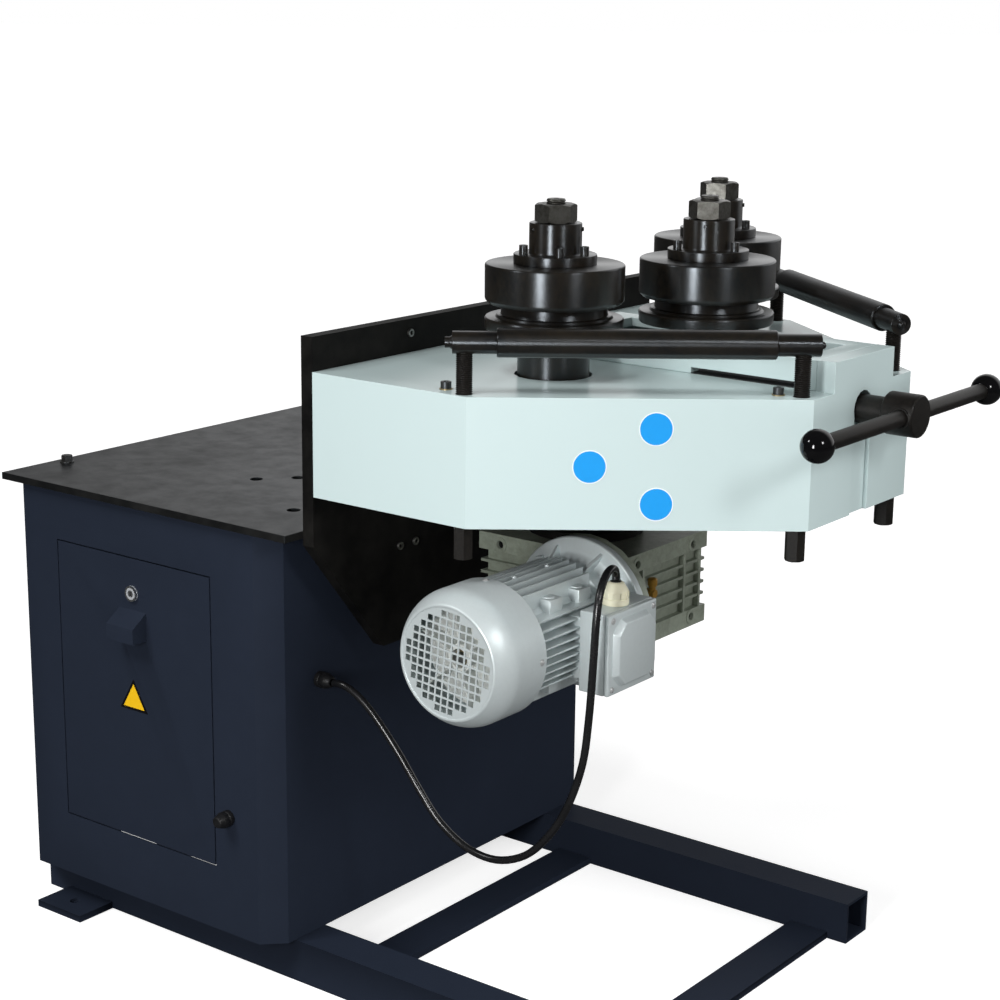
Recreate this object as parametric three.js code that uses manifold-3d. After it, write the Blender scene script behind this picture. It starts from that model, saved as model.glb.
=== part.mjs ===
// Motor-driven ring roller: a sheet-metal cabinet carries an upright plate, and the plate carries the
// head box with two driven rollers and a pressing roller that a screw moves between them.
// Millimetres, +Z up. The floor is Z = 0, X = 0 is the plate's front face and Y = 0 the middle of the head.
import * as THREE from "three";
import { mergeVertices } from "three/addons/utils/BufferGeometryUtils.js";
import Module from "manifold-3d";

const wasm = await Module();
wasm.setup();

// Clearance between pieces that touch, and running clearance of a shaft in its bore
const gap = 0.3;

// Head box: in plan a rectangle whose long chamfers taper it to a narrower end face
const headBottom = 690;
const headHeight = 160;
const headLength = 565;
const headBackWidth = 755;
const headEndWidth = 247;
const headStraight = 244;
const headWall = 8;
const headRoof = 15;
const headEndWall = 25;
const headFloor = 12;

// Upright plate between the cabinet and the head
const plateThickness = 18;
const plateAbove = 44;
const plateBelow = 230;
const plateCornerRise = 66;
const plateBottomHalf = 242;
const bracketWidth = 60;
const bracketHeight = 150;
const bracketY = 193;

// Cabinet and its worktop
const cabinetWidth = 500;
const cabinetDepth = 715;
const cabinetFront = 401;
const cabinetCorner = 28;
const cabinetSheet = 3;
const cabinetGap = 39;
const cabinetFlange = 40;
const worktopDrop = 47;
const worktopThickness = 10;
const worktopOverhang = 5;
const worktopFront = 10;
const worktopHoleRadius = 9;
const worktopHoles = [[203, 200], [165, 244], [44, 105]];

// Switchgear plate inside the cabinet; sizes are width, depth and height
const panelWidth = 320;
const panelHeight = 300;
const panelBottom = 260;
const panelThickness = 3;
const contactorSize = [46, 87, 85];
const contactorPitch = 60;
const transformerSize = [85, 97, 100];
const terminalSize = [280, 42, 45];
const panelMargin = 20;

// Base rails on the floor
const railSize = 60;
const railLength = 1030;
const railY = 285;
const railWall = 4;
const strapWidth = 60;
const lugSize = 90;
const lugReach = 63;
const lugThickness = 10;
const anchorRadius = 8;

// Cabinet door, a pan that hinges at its lower edge, with its lock and pull
const doorWidth = 295;
const doorHeight = 405;
const doorCentreX = -312.5;
const doorTop = 131;
const doorGap = 2;
const doorDepth = 15;
const doorSheet = 2;
const doorPinRadius = 2.5;
const doorPinInset = 4;
const pullWidth = 52;
const pullHeight = 40;
const pullDepth = 26;
const pullDrop = 72;
const lockDrop = 49;
const lockRadius = 11;
const camLength = 62;

// Rollers on their spindles
const rollerX = 232.5;
const rollerY = 188.5;
const pressFromEnd = 230;
const pressLower = 3;
const rollerRadius = 86.5;
const flangeLift = 57;
const flangeThickness = 15;
const grooveHeight = 17;
const grooveRadius = 65;
const ringHeight = 49;
const ringChamfer = 5;
const clampDiscRadius = 51.5;
const clampDiscHeight = 12;
const clampSleeveRadius = 32.5;
const clampSleeveHeight = 38;
const neckRadius = 45;
const neckClearance = 4;
const spindleRadius = 25;
const journalRadius = 30;
const threadRadius = 12;
const nutAcross = 46;
const nutHeight = 23;
const threadEnd = 6;
const bearingRadius = 55;
const bearingHeight = 40;
const bossWall = 15;
const floorBoss = 8;
const floorBossRadius = 45;

// Gear train in the head
const gearModule = 4;
const gearTeeth = 64;
const pinionTeeth = 38;
const gearWidth = 36;
const gearLift = 22;
const gearBacklash = 0.9;

// Pressing carriage, its raised guide and its screw
const guideBehind = 185;
const guideHalf = 75;
const guideRise = 38;
const guideRoof = 12;
const channelHalf = 55.3;
const channelWall = 11;
const ledgeLift = 62;
const ledgeHeight = 10;
const ledgeWidth = 12;
const windowBehind = 145;
const windowFromEnd = 53;
const windowHalf = 47;
const sideSlotAhead = 27;
const sideSlotFromEnd = 54;
const sideSlotHeight = 8;
const carriageFront = 60;
const carriageBack = 167;
const carriageBlock = 36;
const nutLength = 30;
const carriageFloor = 12;
const screwLift = 131;
const screwRadius = 18;
const screwTipAhead = 60;
const collarRadius = 26;
const collarWidth = 8;
const blockFlange = 9;
const blockRecess = 5;
const keyholeRadius = 23;
const keyholeHalf = 21;
const webTop = 105;
const hubRadius = 26.5;
const hubLength = 43;
const hubReach = 78;
const hubBore = 14;
const barRadius = 10;
const barLength = 440;
const barOffset = -6;
const knobSpigot = 5;
const knobSpigotPast = 8;
const knobRadius = 20;

// Guide bars parallel to the chamfers
const guideBarInset = 21;
const guideBarLift = 61.5;
const rearStudBack = 2.3;
const frontStudInset = 11.7;
const studRadius = 10;
const studSocket = 4;
const guideShaftRadius = 13.5;
const guideShaftOverhang = 17.5;
const guideShaftShift = 3;
const guideTubeRadius = 17.5;
const guideTubeEndRoom = 35;
const hexAcross = 22;
const hexLength = 41;

// Worm gearbox hanging under the head
const gearboxDrop = 90;
const gearboxHeight = 130;
const gearboxWheelSide = 103;
const gearboxWormSide = 131;
const gearboxHalfLength = 103;
const gearboxBand = 24;
const gearboxRecess = 9;
const gearboxRib = 4;
const gearboxLugRadius = 5.5;
const gearboxLugEdge = 14;
const gearboxLugInset = 36;
const gearboxLugDepth = 12;
const wormDrop = 4;
const wormCentre = 90;
const wormRadius = 22;
const wormStep = 4;
const wormBoreEnd = 20;
const wormLength = 120;
const wheelRadius = 67.5;
const wheelTeeth = 60;
const wheelWidth = 36;
const outputRadius = 17.5;
const outputRoom = 8;
const adapterRadius = 80;
const adapterNeck = 55;
const adapterFlange = 12;

// Motor
const inputFace = 129;
const motorFlangeRadius = 100;
const motorFlangeThickness = 12;
const motorBodyStart = 172;
const motorBodyEnd = 334;
const motorCoreRadius = 68;
const motorEndWall = 20;
const airGap = 1.5;
const motorFinRadius = 82;
const motorPadHalf = 13;
const motorPadInner = 34;
const motorPadOuter = 60;
const motorPadY = [272, 212];
const finPitch = 15.5;
const finThickness = 3;
const finCount = 6;
const coverRadius = 87;
const coverStart = 328;
const coverEnd = 412;
const coverFaceRadius = 73;
const coverShoulder = 34;
const coverSheet = 2;
const grilleRadius = 66;
const grillePitch = 16.4;
const grilleHole = 12;
const fanRadius = 74;
const fanBlades = 8;
const fanHubRadius = 18;
const fanBoreRadius = 8;
const fanBladeThickness = 3;
const fanInset = 24;
const motorShaftRadius = 12;
const rotorRadius = 40;
const rotorInset = 34;
const boxSize = 104;
const boxCentreY = 203;
const boxCentreDrop = 6;
const boxReach = 120;
const boxDepth = 37;
const boxWall = 3;
const lidThickness = 7;
const lidPanel = 8;
const lidPanelSlope = 5;
const lidPanelInset = 8;
const lidPanelCut = 16;

// Cable between the motor and the cabinet, with its two glands, and the inlet gland on the front
const cableRadius = 5;
const motorGlandRadius = 17.5;
const motorGlandHeight = 30;
const motorGlandX = 345;
const motorGlandY = -204;
const wallGlandRadius = 12;
const wallGlandLength = 26;
const wallGlandFromFront = 93;
const wallGlandDrop = 271;
const frontGlandX = -137;
const frontGlandDrop = 460;

// Derived places
const headTop = headBottom + headHeight;
const roofUnderside = headTop - headRoof;
const guideTop = headTop + guideRise;
const guideCeiling = guideTop - guideRoof;
const ledgeTop = headBottom + ledgeLift + ledgeHeight;
const screwZ = headBottom + screwLift;
const endWallFace = headLength - headEndWall;
const blockBack = endWallFace - blockFlange;
const pressX = headLength - pressFromEnd;
const guideStart = pressX - guideBehind;
const cabinetRight = -plateThickness - cabinetGap;
const cabinetLeft = cabinetRight - cabinetWidth;
const cabinetBack = cabinetDepth - cabinetFront;
const wallGlandY = wallGlandFromFront - cabinetFront;
const worktopTop = headBottom - worktopDrop;
const cabinetTop = worktopTop - worktopThickness - gap;
const cabinetBottom = railSize + gap;
const rollerTop = flangeLift + flangeThickness + grooveHeight + ringHeight;
const sleeveTop = rollerTop + clampDiscHeight + clampSleeveHeight;
const gearCentres = (gearModule * (gearTeeth + pinionTeeth)) / 2;
const outputX = rollerX - Math.sqrt(gearCentres ** 2 - rollerY ** 2);
const gearboxTop = headBottom - gearboxDrop;
const motorZ = gearboxTop - gearboxHeight / 2 - wormDrop;
const motorX = outputX + wormCentre;
const chamferSlope = (headBackWidth - headEndWidth) / 2 / (headLength - headStraight);
const chamferAngle = Math.atan(chamferSlope);
const chamferLength = Math.hypot(headLength - headStraight, (headBackWidth - headEndWidth) / 2);
const studSpacing = chamferLength + rearStudBack - frontStudInset;

// Materials
function paint(color, roughness, metalness) {
  return new THREE.MeshStandardMaterial({ color, roughness, metalness });
}


const headPaint = paint(0xcfe0e0, 0.45, 0.1);
const cabinetPaint = paint(0x283240, 0.5, 0.1);
const plateSteel = paint(0x1f1c1a, 0.55, 0.6);
const blackSteel = paint(0x1a1a1b, 0.28, 0.85);
const dullSteel = paint(0x2b2a29, 0.5, 0.7);
const brightSteel = paint(0xa8a8a6, 0.3, 0.95);
const bronze = paint(0xa9824a, 0.4, 0.9);
const castAluminium = paint(0x8f948f, 0.5, 0.7);
const motorPaint = paint(0xb4babd, 0.4, 0.5);
const creamPlastic = paint(0xd8d2b4, 0.6, 0);
const blackPlastic = paint(0x121212, 0.35, 0);
const blackRubber = paint(0x151515, 0.65, 0);
const chrome = paint(0xc9cbcc, 0.15, 1);

// A closed geometry becomes a solid: shared corners are merged, empty triangles dropped, faces turned out
function solid(geometry) {
  geometry.deleteAttribute("normal");
  geometry.deleteAttribute("uv");
  const merged = mergeVertices(geometry, 1e-3);
  const position = merged.getAttribute("position");
  const index = merged.getIndex();
  const triangles = [];
  let volume = 0;
  for (let i = 0; i < index.count; i += 3) {
    const corners = [index.getX(i), index.getX(i + 1), index.getX(i + 2)];
    if (new Set(corners).size < 3) continue;
    const [a, b, c] = corners.map((k) => new THREE.Vector3().fromBufferAttribute(position, k));
    volume += a.dot(b.cross(c));
    triangles.push(corners);
  }
  const turned = volume < 0 ? triangles.map((t) => [t[0], t[2], t[1]]) : triangles;
  const mesh = new wasm.Mesh({
    numProp: 3,
    vertProperties: Float32Array.from(position.array),
    triVerts: Uint32Array.from(turned.flat()),
  });
  return new wasm.Manifold(mesh);
}

// A solid's triangles as a geometry
function geometryOf(body) {
  const mesh = body.getMesh();
  const geometry = new THREE.BufferGeometry();
  geometry.setAttribute("position", new THREE.BufferAttribute(mesh.vertProperties, 3));
  geometry.setIndex(new THREE.BufferAttribute(mesh.triVerts, 1));
  geometry.computeVertexNormals();
  return geometry;
}

// Number of facets round a circle
function facets(radius) {
  if (radius > 60) return 24;
  return radius > 12 ? 16 : 12;
}

// Radius of a bore in which a shaft can turn: its facets stay clear of the shaft's corners
function running(radius) {
  return radius / Math.cos(Math.PI / facets(radius)) + gap;
}

// A body turned round Z from points of radius and height
function turned(points, count = facets(Math.max(...points.map((p) => p[0])))) {
  const closed = [...points, points[0]].map(([r, z]) => new THREE.Vector2(r, z));
  return solid(new THREE.LatheGeometry(closed, count).rotateX(Math.PI / 2));
}

// A cylinder or ring round Z between two heights
function ring(outer, inner, low, high, count = facets(outer)) {
  return turned([[inner, low], [outer, low], [outer, high], [inner, high]], count);
}

function rod(radius, low, high, count = facets(radius)) {
  return ring(radius, 0, low, high, count);
}

// A box between two corners
function box(low, high) {
  const size = high.map((v, i) => v - low[i]);
  const centre = high.map((v, i) => (v + low[i]) / 2);
  return solid(new THREE.BoxGeometry(...size).translate(...centre));
}

// A straight prism along Z from an outline
function prism(points, low, high) {
  const shape = new THREE.Shape(points.map(([x, y]) => new THREE.Vector2(x, y)));
  const straight = { depth: high - low, bevelEnabled: false };
  return solid(new THREE.ExtrudeGeometry(shape, straight).translate(0, 0, low));
}

// A hexagon's corners from its width across flats
function hexagon(across) {
  const corner = across / Math.sqrt(3);
  return Array.from({ length: 6 }, (_, i) => {
    const angle = (i * Math.PI) / 3;
    return [corner * Math.cos(angle), corner * Math.sin(angle)];
  });
}

const alongX = (body) => body.rotate([0, 90, 0]);
const alongY = (body) => body.rotate([-90, 0, 0]);
const join = (first, ...rest) => rest.reduce((sum, body) => sum.add(body), first);
const cut = (first, ...rest) => rest.reduce((left, body) => left.subtract(body), first);
const mirroredY = (body) => body.mirror([0, 1, 0]);
const bothSides = (body) => body.add(mirroredY(body));

const ringRoller = new THREE.Group();

// Puts a named piece into a group
function piece(name, body, material, group = ringRoller) {
  const mesh = new THREE.Mesh(geometryOf(body), material);
  mesh.name = name;
  group.add(mesh);
  return mesh;
}

// The head's outline in plan, moved inwards from each of its sides
function headOutline(side, back, end) {
  const stretch = side * Math.sqrt(1 + chamferSlope ** 2);
  const half = headBackWidth / 2 - side;
  const shoulder = headStraight - (stretch - side) / chamferSlope;
  const tip = headLength - end;
  const tipHalf = headBackWidth / 2 - chamferSlope * (tip - headStraight) - stretch;
  return [[back, -half], [shoulder, -half], [tip, -tipHalf], [tip, tipHalf], [shoulder, half], [back, half]];
}

// A place of the near guide bar, measured along it from the rear stud
function barPlace(along) {
  const distance = along - rearStudBack;
  const x = headStraight + distance * Math.cos(chamferAngle) - guideBarInset * Math.sin(chamferAngle);
  const y = -headBackWidth / 2 + distance * Math.sin(chamferAngle) + guideBarInset * Math.cos(chamferAngle);
  return [x, y];
}

const studPlaces = [barPlace(0), barPlace(studSpacing)];

// Upright rods at the four stud places
function atStuds(radius, low, high) {
  const near = studPlaces.map(([x, y]) => rod(radius, low, high).translate([x, y, 0]));
  return bothSides(join(...near));
}

function atRollers(body) {
  return bothSides(body.translate([rollerX, -rollerY, 0]));
}

// Head box with its roof, bearing bosses, carriage channel and the end wall, which rises in its middle
function headHousing() {
  const outer = prism(headOutline(0, gap, 0), headBottom, headTop);
  const inner = prism(headOutline(headWall, headWall, headEndWall), headBottom - 1, roofUnderside);
  const boss = rod(bearingRadius + bossWall, roofUnderside - bearingHeight - gap, roofUnderside + 1);
  const channelEnd = endWallFace + 1;
  const wall = box(
    [guideStart, channelHalf, headBottom + ledgeLift],
    [channelEnd, channelHalf + channelWall, roofUnderside + 1],
  );
  const ledge = box(
    [guideStart, channelHalf - ledgeWidth, headBottom + ledgeLift],
    [blockBack - gap, channelHalf + 1, ledgeTop],
  );
  const slot = box(
    [guideStart + channelWall, -channelHalf, roofUnderside - 1],
    [endWallFace, channelHalf, headTop + 1],
  );
  const raisedEnd = box([endWallFace, -guideHalf, headTop - 1], [headLength, guideHalf, guideTop]);
  const keyhole = join(
    alongX(rod(keyholeRadius, endWallFace - 1, headLength + 1)).translate([0, 0, screwZ]),
    box([endWallFace - 1, -keyholeHalf, headBottom - 1], [headLength + 1, keyholeHalf, screwZ]),
  );
  return cut(
    join(cut(outer, inner), raisedEnd, atRollers(boss), bothSides(wall), bothSides(ledge)),
    atRollers(rod(neckRadius + neckClearance, roofUnderside - 1, headTop + 1)),
    atRollers(rod(bearingRadius + gap, roofUnderside - bearingHeight - 1, roofUnderside)),
    atStuds(running(studRadius), headBottom - 1, headTop + 1),
    slot,
    keyhole,
  );
}
piece("head_housing", headHousing(), headPaint);

// Floor of the head: it carries the spindles' lower ends and the threaded holes of the studs
function headBottomPlate() {
  const outline = headOutline(headWall + gap, headWall + gap, headEndWall + gap);
  const plate = prism(outline, headBottom, headBottom + headFloor);
  const boss = rod(floorBossRadius, headBottom + 1, headBottom + headFloor + floorBoss);
  return cut(
    join(plate, atRollers(boss)),
    atRollers(rod(running(spindleRadius), headBottom - 1, headBottom + headFloor + floorBoss + 1)),
    atStuds(running(studRadius), headBottom - 1, headBottom + headFloor + 1),
    rod(outputRadius + outputRoom, headBottom - 1, headBottom + headFloor + 1).translate([outputX, 0, 0]),
  );
}
piece("head_bottom_plate", headBottomPlate(), dullSteel);

// Raised guide over the carriage, with the window that the pressing roller's neck travels in
function guideBlock() {
  const end = endWallFace - gap;
  const shell = box([guideStart, -guideHalf, headTop + gap], [end, guideHalf, guideTop]);
  const channelStart = guideStart + channelWall;
  const channel = box([channelStart, -channelHalf, headTop - 1], [end + 1, channelHalf, guideCeiling]);
  const window = box(
    [pressX - windowBehind, -windowHalf, guideCeiling - 1],
    [headLength - windowFromEnd, windowHalf, guideTop + 1],
  );
  const slots = box(
    [pressX + sideSlotAhead, -guideHalf - 1, headTop],
    [headLength - sideSlotFromEnd, guideHalf + 1, headTop + sideSlotHeight],
  );
  return cut(shell, channel, window, slots);
}
piece("guide_block", guideBlock(), headPaint);

// Thrust block of the pressing screw, set back in the slot of the end wall
function screwBlock() {
  const low = headBottom + headFloor + gap;
  const flange = box([blockBack, -channelHalf + 5, low], [endWallFace - gap, channelHalf - 5, headTop - gap]);
  const webHalf = keyholeHalf - gap;
  const front = headLength - blockRecess;
  const web = join(
    box([blockBack, -webHalf, low], [front, webHalf, headBottom + webTop]),
    box([endWallFace, -webHalf, headBottom], [front, webHalf, low + 1]),
  );
  const bore = alongX(rod(running(screwRadius), blockBack - 1, headLength + 1)).translate([0, 0, screwZ]);
  return cut(join(flange, web), bore);
}
piece("screw_block", screwBlock(), headPaint);

// Upright plate with cut lower corners, and the brackets that hold it off the cabinet's wall
function mountingPlate() {
  const half = headBackWidth / 2;
  const low = headBottom - plateBelow;
  const outline = [
    [-half, headTop + plateAbove], [-half, headBottom - plateCornerRise], [-plateBottomHalf, low],
    [plateBottomHalf, low], [half, headBottom - plateCornerRise], [half, headTop + plateAbove],
  ];
  const plate = prism(outline, 0, plateThickness).rotate([90, 0, 90]).translate([-plateThickness, 0, 0]);
  const bracketTop = cabinetTop - gap;
  const bracket = box(
    [cabinetRight + gap, bracketY - bracketWidth / 2, bracketTop - bracketHeight],
    [1 - plateThickness, bracketY + bracketWidth / 2, bracketTop],
  );
  return join(plate, bothSides(bracket));
}
piece("mounting_plate", mountingPlate(), plateSteel);

// Worktop of the cabinet, running up to the upright plate
function worktop() {
  const low = worktopTop - worktopThickness;
  const left = cabinetLeft - worktopOverhang;
  const front = -cabinetFront - worktopFront;
  const plate = box([left, front, low], [-plateThickness - gap, cabinetBack + worktopFront, worktopTop]);
  const hole = rod(worktopHoleRadius, low - 1, worktopTop + 1);
  return cut(plate, ...worktopHoles.map(([x, y]) => hole.translate([cabinetRight - x, front + y, 0])));
}
piece("worktop", worktop(), plateSteel);

// Cabinet outline with cut corners
function cabinetOutline(inset) {
  const [x0, x1] = [cabinetLeft + inset, cabinetRight - inset];
  const [y0, y1] = [-cabinetFront + inset, cabinetBack - inset];
  const c = cabinetCorner - inset * (2 - Math.SQRT2);
  return [
    [x0 + c, y0], [x1 - c, y0], [x1, y0 + c], [x1, y1 - c],
    [x1 - c, y1], [x0 + c, y1], [x0, y1 - c], [x0, y0 + c],
  ];
}

const doorLow = headBottom - doorTop - doorHeight;
const doorHigh = headBottom - doorTop;
const doorLeft = doorCentreX - doorWidth / 2;
const doorRight = doorCentreX + doorWidth / 2;
const doorPinY = -cabinetFront + doorPinInset;
const doorPinZ = doorLow + doorPinInset;
const lipY = -cabinetFront + doorDepth + 6;

// Sheet-metal cabinet with the door's opening, its catch lip, the cheeks of the door's pins and a foot flange
function cabinetShell() {
  const top = cabinetTop;
  const low = cabinetBottom;
  const shell = cut(
    prism(cabinetOutline(0), low, top),
    prism(cabinetOutline(cabinetSheet), low + cabinetSheet, top + 1),
    prism(cabinetOutline(cabinetFlange), low - 1, low + cabinetSheet + 1),
  );
  const front = -cabinetFront;
  const opening = box(
    [doorLeft - doorGap, front - 1, doorLow - doorGap],
    [doorRight + doorGap, front + cabinetSheet + 1, doorHigh + doorGap],
  );
  const shelf = box(
    [doorLeft, front + 1, doorHigh + doorGap + 1],
    [doorRight, lipY + cabinetSheet, doorHigh + doorGap + 1 + cabinetSheet],
  );
  const lip = box(
    [doorLeft, lipY, doorHigh - 12],
    [doorRight, lipY + cabinetSheet, doorHigh + doorGap + 2],
  );
  const cheeks = [doorLeft - doorGap - 6, doorRight + doorGap].map((x) =>
    box([x, front + 1, doorLow - doorGap], [x + 6, front + doorDepth, doorLow + 16]),
  );
  const pinBore = rod(running(doorPinRadius), doorLeft - 10, doorRight + 10);
  const pins = alongX(pinBore).translate([0, doorPinY, doorPinZ]);
  const cableHole = alongX(rod(cableRadius, cabinetRight - 5, cabinetRight + 1));
  const cablePlace = [0, wallGlandY, headBottom - wallGlandDrop];
  return cut(join(cut(shell, opening), shelf, lip, ...cheeks), pins, cableHole.translate(cablePlace));
}
piece("cabinet_shell", cabinetShell(), cabinetPaint);

// Door: a folded pan with two pins at its lower corners and a sheet pull under the lock
function cabinetDoor() {
  const front = -cabinetFront;
  const pan = cut(
    box([doorLeft, front, doorLow], [doorRight, front + doorDepth, doorHigh]),
    box(
      [doorLeft + doorSheet, front + doorSheet, doorLow + doorSheet],
      [doorRight - doorSheet, front + doorDepth + 1, doorHigh - doorSheet],
    ),
  );
  const pinRod = rod(doorPinRadius, doorRight - 1, doorRight + doorGap + 5);
  const pin = alongX(pinRod).translate([0, doorPinY, doorPinZ]);
  const otherPin = pin.translate([-doorCentreX, 0, 0]).mirror([1, 0, 0]).translate([doorCentreX, 0, 0]);
  const pinBlock = box([doorLeft + 1, front + 1, doorLow + 1], [doorRight - 1, front + 9, doorLow + 9]);
  const lockBore = rod(running(lockRadius - 3), front - 1, front + 4);
  const lockHole = alongY(lockBore).translate([doorCentreX, 0, doorHigh - lockDrop]);
  const pullTop = doorHigh - pullDrop;
  const wedge = (inset) => {
    const half = pullWidth / 2 - inset;
    const knee = pullTop - pullHeight * 0.45;
    const low = pullTop - pullHeight - inset;
    const out = inset - pullDepth;
    const profile = [[inset, pullTop - 2 * inset], [out, knee], [out, low], [inset, low]];
    return prism(profile, -half, half).rotate([90, 0, 90]);
  };
  const pull = cut(wedge(0), wedge(doorSheet)).translate([doorCentreX, front + 0.5, 0]);
  return cut(join(pan, pin, otherPin, pinBlock, pull), lockHole);
}
piece("cabinet_door", cabinetDoor(), cabinetPaint);

// Quarter-turn lock: a round face, a barrel through the door and a cam that lies sideways when unlocked
function doorLock() {
  const face = rod(lockRadius, -3.5, -gap);
  const barrel = rod(lockRadius - 3, -gap - 1, doorDepth + 12);
  const slot = box([-1, -6, -4], [1, 6, -2]);
  const camLow = doorDepth + 6 + cabinetSheet + gap;
  const cam = box([-camLength, -7, camLow], [7, 7, camLow + 3]);
  const lock = alongY(cut(join(face, barrel, cam), slot));
  return lock.translate([doorCentreX, -cabinetFront, doorHigh - lockDrop]);
}
piece("door_lock", doorLock(), chrome);

// Switchgear on its plate at the cabinet's back wall: contactors, a transformer and a row of terminals
function controlPanel() {
  const back = cabinetBack - cabinetSheet - gap;
  const left = (cabinetLeft + cabinetRight - panelWidth) / 2;
  const top = panelBottom + panelHeight;
  const block = (x, z, [width, depth, height]) =>
    box([left + x, back - panelThickness - depth, z], [left + x + width, back - 1, z + height]);
  const plate = box([left, back - panelThickness, panelBottom], [left + panelWidth, back, top]);
  const row = top - 2 * panelMargin - contactorSize[2];
  const contactors = [0, 1, 2].map((i) => block(panelMargin + i * contactorPitch, row, contactorSize));
  const transformer = block(panelWidth - panelMargin - transformerSize[0], row, transformerSize);
  const terminals = block(panelMargin, panelBottom + panelMargin, terminalSize);
  return join(plate, ...contactors, transformer, terminals);
}
piece("control_panel", controlPanel(), castAluminium);

// Base: two square rails along the floor, reaching out under the head, with cross bars and anchor lugs
function baseFrame() {
  const middleY = cabinetBack - cabinetDepth / 2;
  const back = cabinetLeft;
  const front = back + railLength;
  const [inner, outer] = [railY - railSize / 2, railY + railSize / 2];
  const rail = cut(
    box([back, inner, 0], [front, outer, railSize]),
    box([back - 1, inner + railWall, railWall], [front + 1, outer - railWall, railSize - railWall]),
  );
  const lugs = [back + lugSize, front - lugSize].map((x) =>
    cut(
      box([x - lugSize / 2, outer - 1, 0], [x + lugSize / 2, outer + lugReach, lugThickness]),
      rod(anchorRadius, -1, lugThickness + 1).translate([x, outer + lugReach / 2, 0]),
    ),
  );
  const straps = [back + strapWidth, 0, front - strapWidth].map((x) =>
    box([x - strapWidth / 2, -inner - 1, 0], [x + strapWidth / 2, inner + 1, lugThickness]),
  );
  return join(bothSides(join(rail, ...lugs)), ...straps).translate([0, middleY, 0]);
}
piece("base_frame", baseFrame(), cabinetPaint);

// Points of a toothed wheel with straight flanks and the given phase
function toothedOutline(teeth, phase) {
  const pitch = (gearModule * teeth) / 2;
  const pressure = (20 * Math.PI) / 180;
  const base = pitch * Math.cos(pressure);
  const involute = (a) => Math.tan(a) - a;
  const halfAt = (r) => {
    const angle = r > base ? Math.acos(base / r) : 0;
    return Math.PI / (2 * teeth) - gearBacklash / 2 / pitch + involute(pressure) - involute(angle);
  };
  const [root, tip] = [pitch - 1.25 * gearModule, pitch + gearModule - 0.3];
  const points = [];
  for (let i = 0; i < teeth; i += 1) {
    const centre = phase + (i * 2 * Math.PI) / teeth;
    for (const [r, side] of [[root, -1], [tip, -1], [tip, 1], [root, 1]]) {
      const angle = centre + side * halfAt(r);
      points.push([r * Math.cos(angle), r * Math.sin(angle)]);
    }
  }
  return points;
}

const gearLow = headBottom + gearLift;
const toNear = Math.atan2(-rollerY, rollerX - outputX);
const pinionPhase = toNear + Math.PI / pinionTeeth;

// Tooth phase of a driven gear that lies in the given direction from the pinion
function gearPhase(direction) {
  const pitch = (2 * Math.PI) / pinionTeeth;
  const share = (((direction - toNear) / pitch) % 1 + 1) % 1;
  return direction + Math.PI + (share * 2 * Math.PI) / gearTeeth;
}

function drivenGear(direction) {
  const blank = prism(toothedOutline(gearTeeth, gearPhase(direction)), gearLow, gearLow + gearWidth);
  return cut(blank, rod(journalRadius + gap, gearLow - 1, gearLow + gearWidth + 1));
}

// Spindle: lower journal, thick middle, shoulder under the roller's neck and threaded end
function spindle(foot, footRadius, shoulder, level = headTop) {
  const seat = level + sleeveTop - gap;
  const end = level + sleeveTop + nutHeight + threadEnd;
  const step = footRadius < journalRadius ? headBottom + headFloor + floorBoss + gap : foot + 1;
  return turned([
    [0, foot], [footRadius, foot], [footRadius, step], [journalRadius, step], [journalRadius, shoulder],
    [spindleRadius, shoulder], [spindleRadius, seat], [threadRadius, seat], [threadRadius, end], [0, end],
  ], facets(journalRadius));
}

// Lower half of a roller: neck, flange and the narrow core of the groove, on the spindle
function lowerRoller(neckFoot) {
  const bore = spindleRadius + gap;
  const flangeTop = flangeLift + flangeThickness;
  return turned([
    [bore, neckFoot], [neckRadius, neckFoot], [neckRadius, flangeLift], [rollerRadius, flangeLift],
    [rollerRadius, flangeTop], [grooveRadius, flangeTop], [grooveRadius, flangeTop + grooveHeight - gap],
    [bore, flangeTop + grooveHeight - gap],
  ]);
}

// Upper half, whose lower edge is chamfered
function mainRoller() {
  const low = flangeLift + flangeThickness + grooveHeight;
  const bore = spindleRadius + gap;
  return turned([
    [bore, low], [rollerRadius - ringChamfer, low], [rollerRadius, low + ringChamfer],
    [rollerRadius, rollerTop - 2], [rollerRadius - 2, rollerTop], [bore, rollerTop],
  ]);
}

// Flanged sleeve that clamps the roller
function clampSleeve() {
  const bore = spindleRadius + gap;
  const disc = rollerTop + clampDiscHeight;
  return turned([
    [bore, rollerTop + gap], [clampDiscRadius, rollerTop + gap], [clampDiscRadius, disc],
    [clampSleeveRadius, disc], [clampSleeveRadius, sleeveTop], [bore, sleeveTop],
  ]);
}

// Hexagon nut on the spindle's threaded end
function rollerNut() {
  const [low, high] = [sleeveTop + gap, sleeveTop + nutHeight];
  return cut(prism(hexagon(nutAcross), low, high), rod(threadRadius + gap, low - 1, high + 1));
}

// One roller with its spindle and clamping pieces, round its own axis; the rollers stand over a level
function rollerSet(name, x, y, level, spindleBody, neckFoot, nutTurn) {
  const group = new THREE.Group();
  group.position.set(x, y, 0);
  piece(`${name}_spindle`, spindleBody, brightSteel, group);
  const raised = [
    piece(`${name}_lower_roller`, lowerRoller(neckFoot - level), blackSteel, group),
    piece(`${name}_main_roller`, mainRoller(), blackSteel, group),
    piece(`${name}_clamp_sleeve`, clampSleeve(), blackSteel, group),
    piece(`${name}_nut`, rollerNut(), blackSteel, group),
  ];
  for (const mesh of raised) mesh.position.z = level;
  raised.at(-1).rotation.z = nutTurn;
  ringRoller.add(group);
  return group;
}

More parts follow.
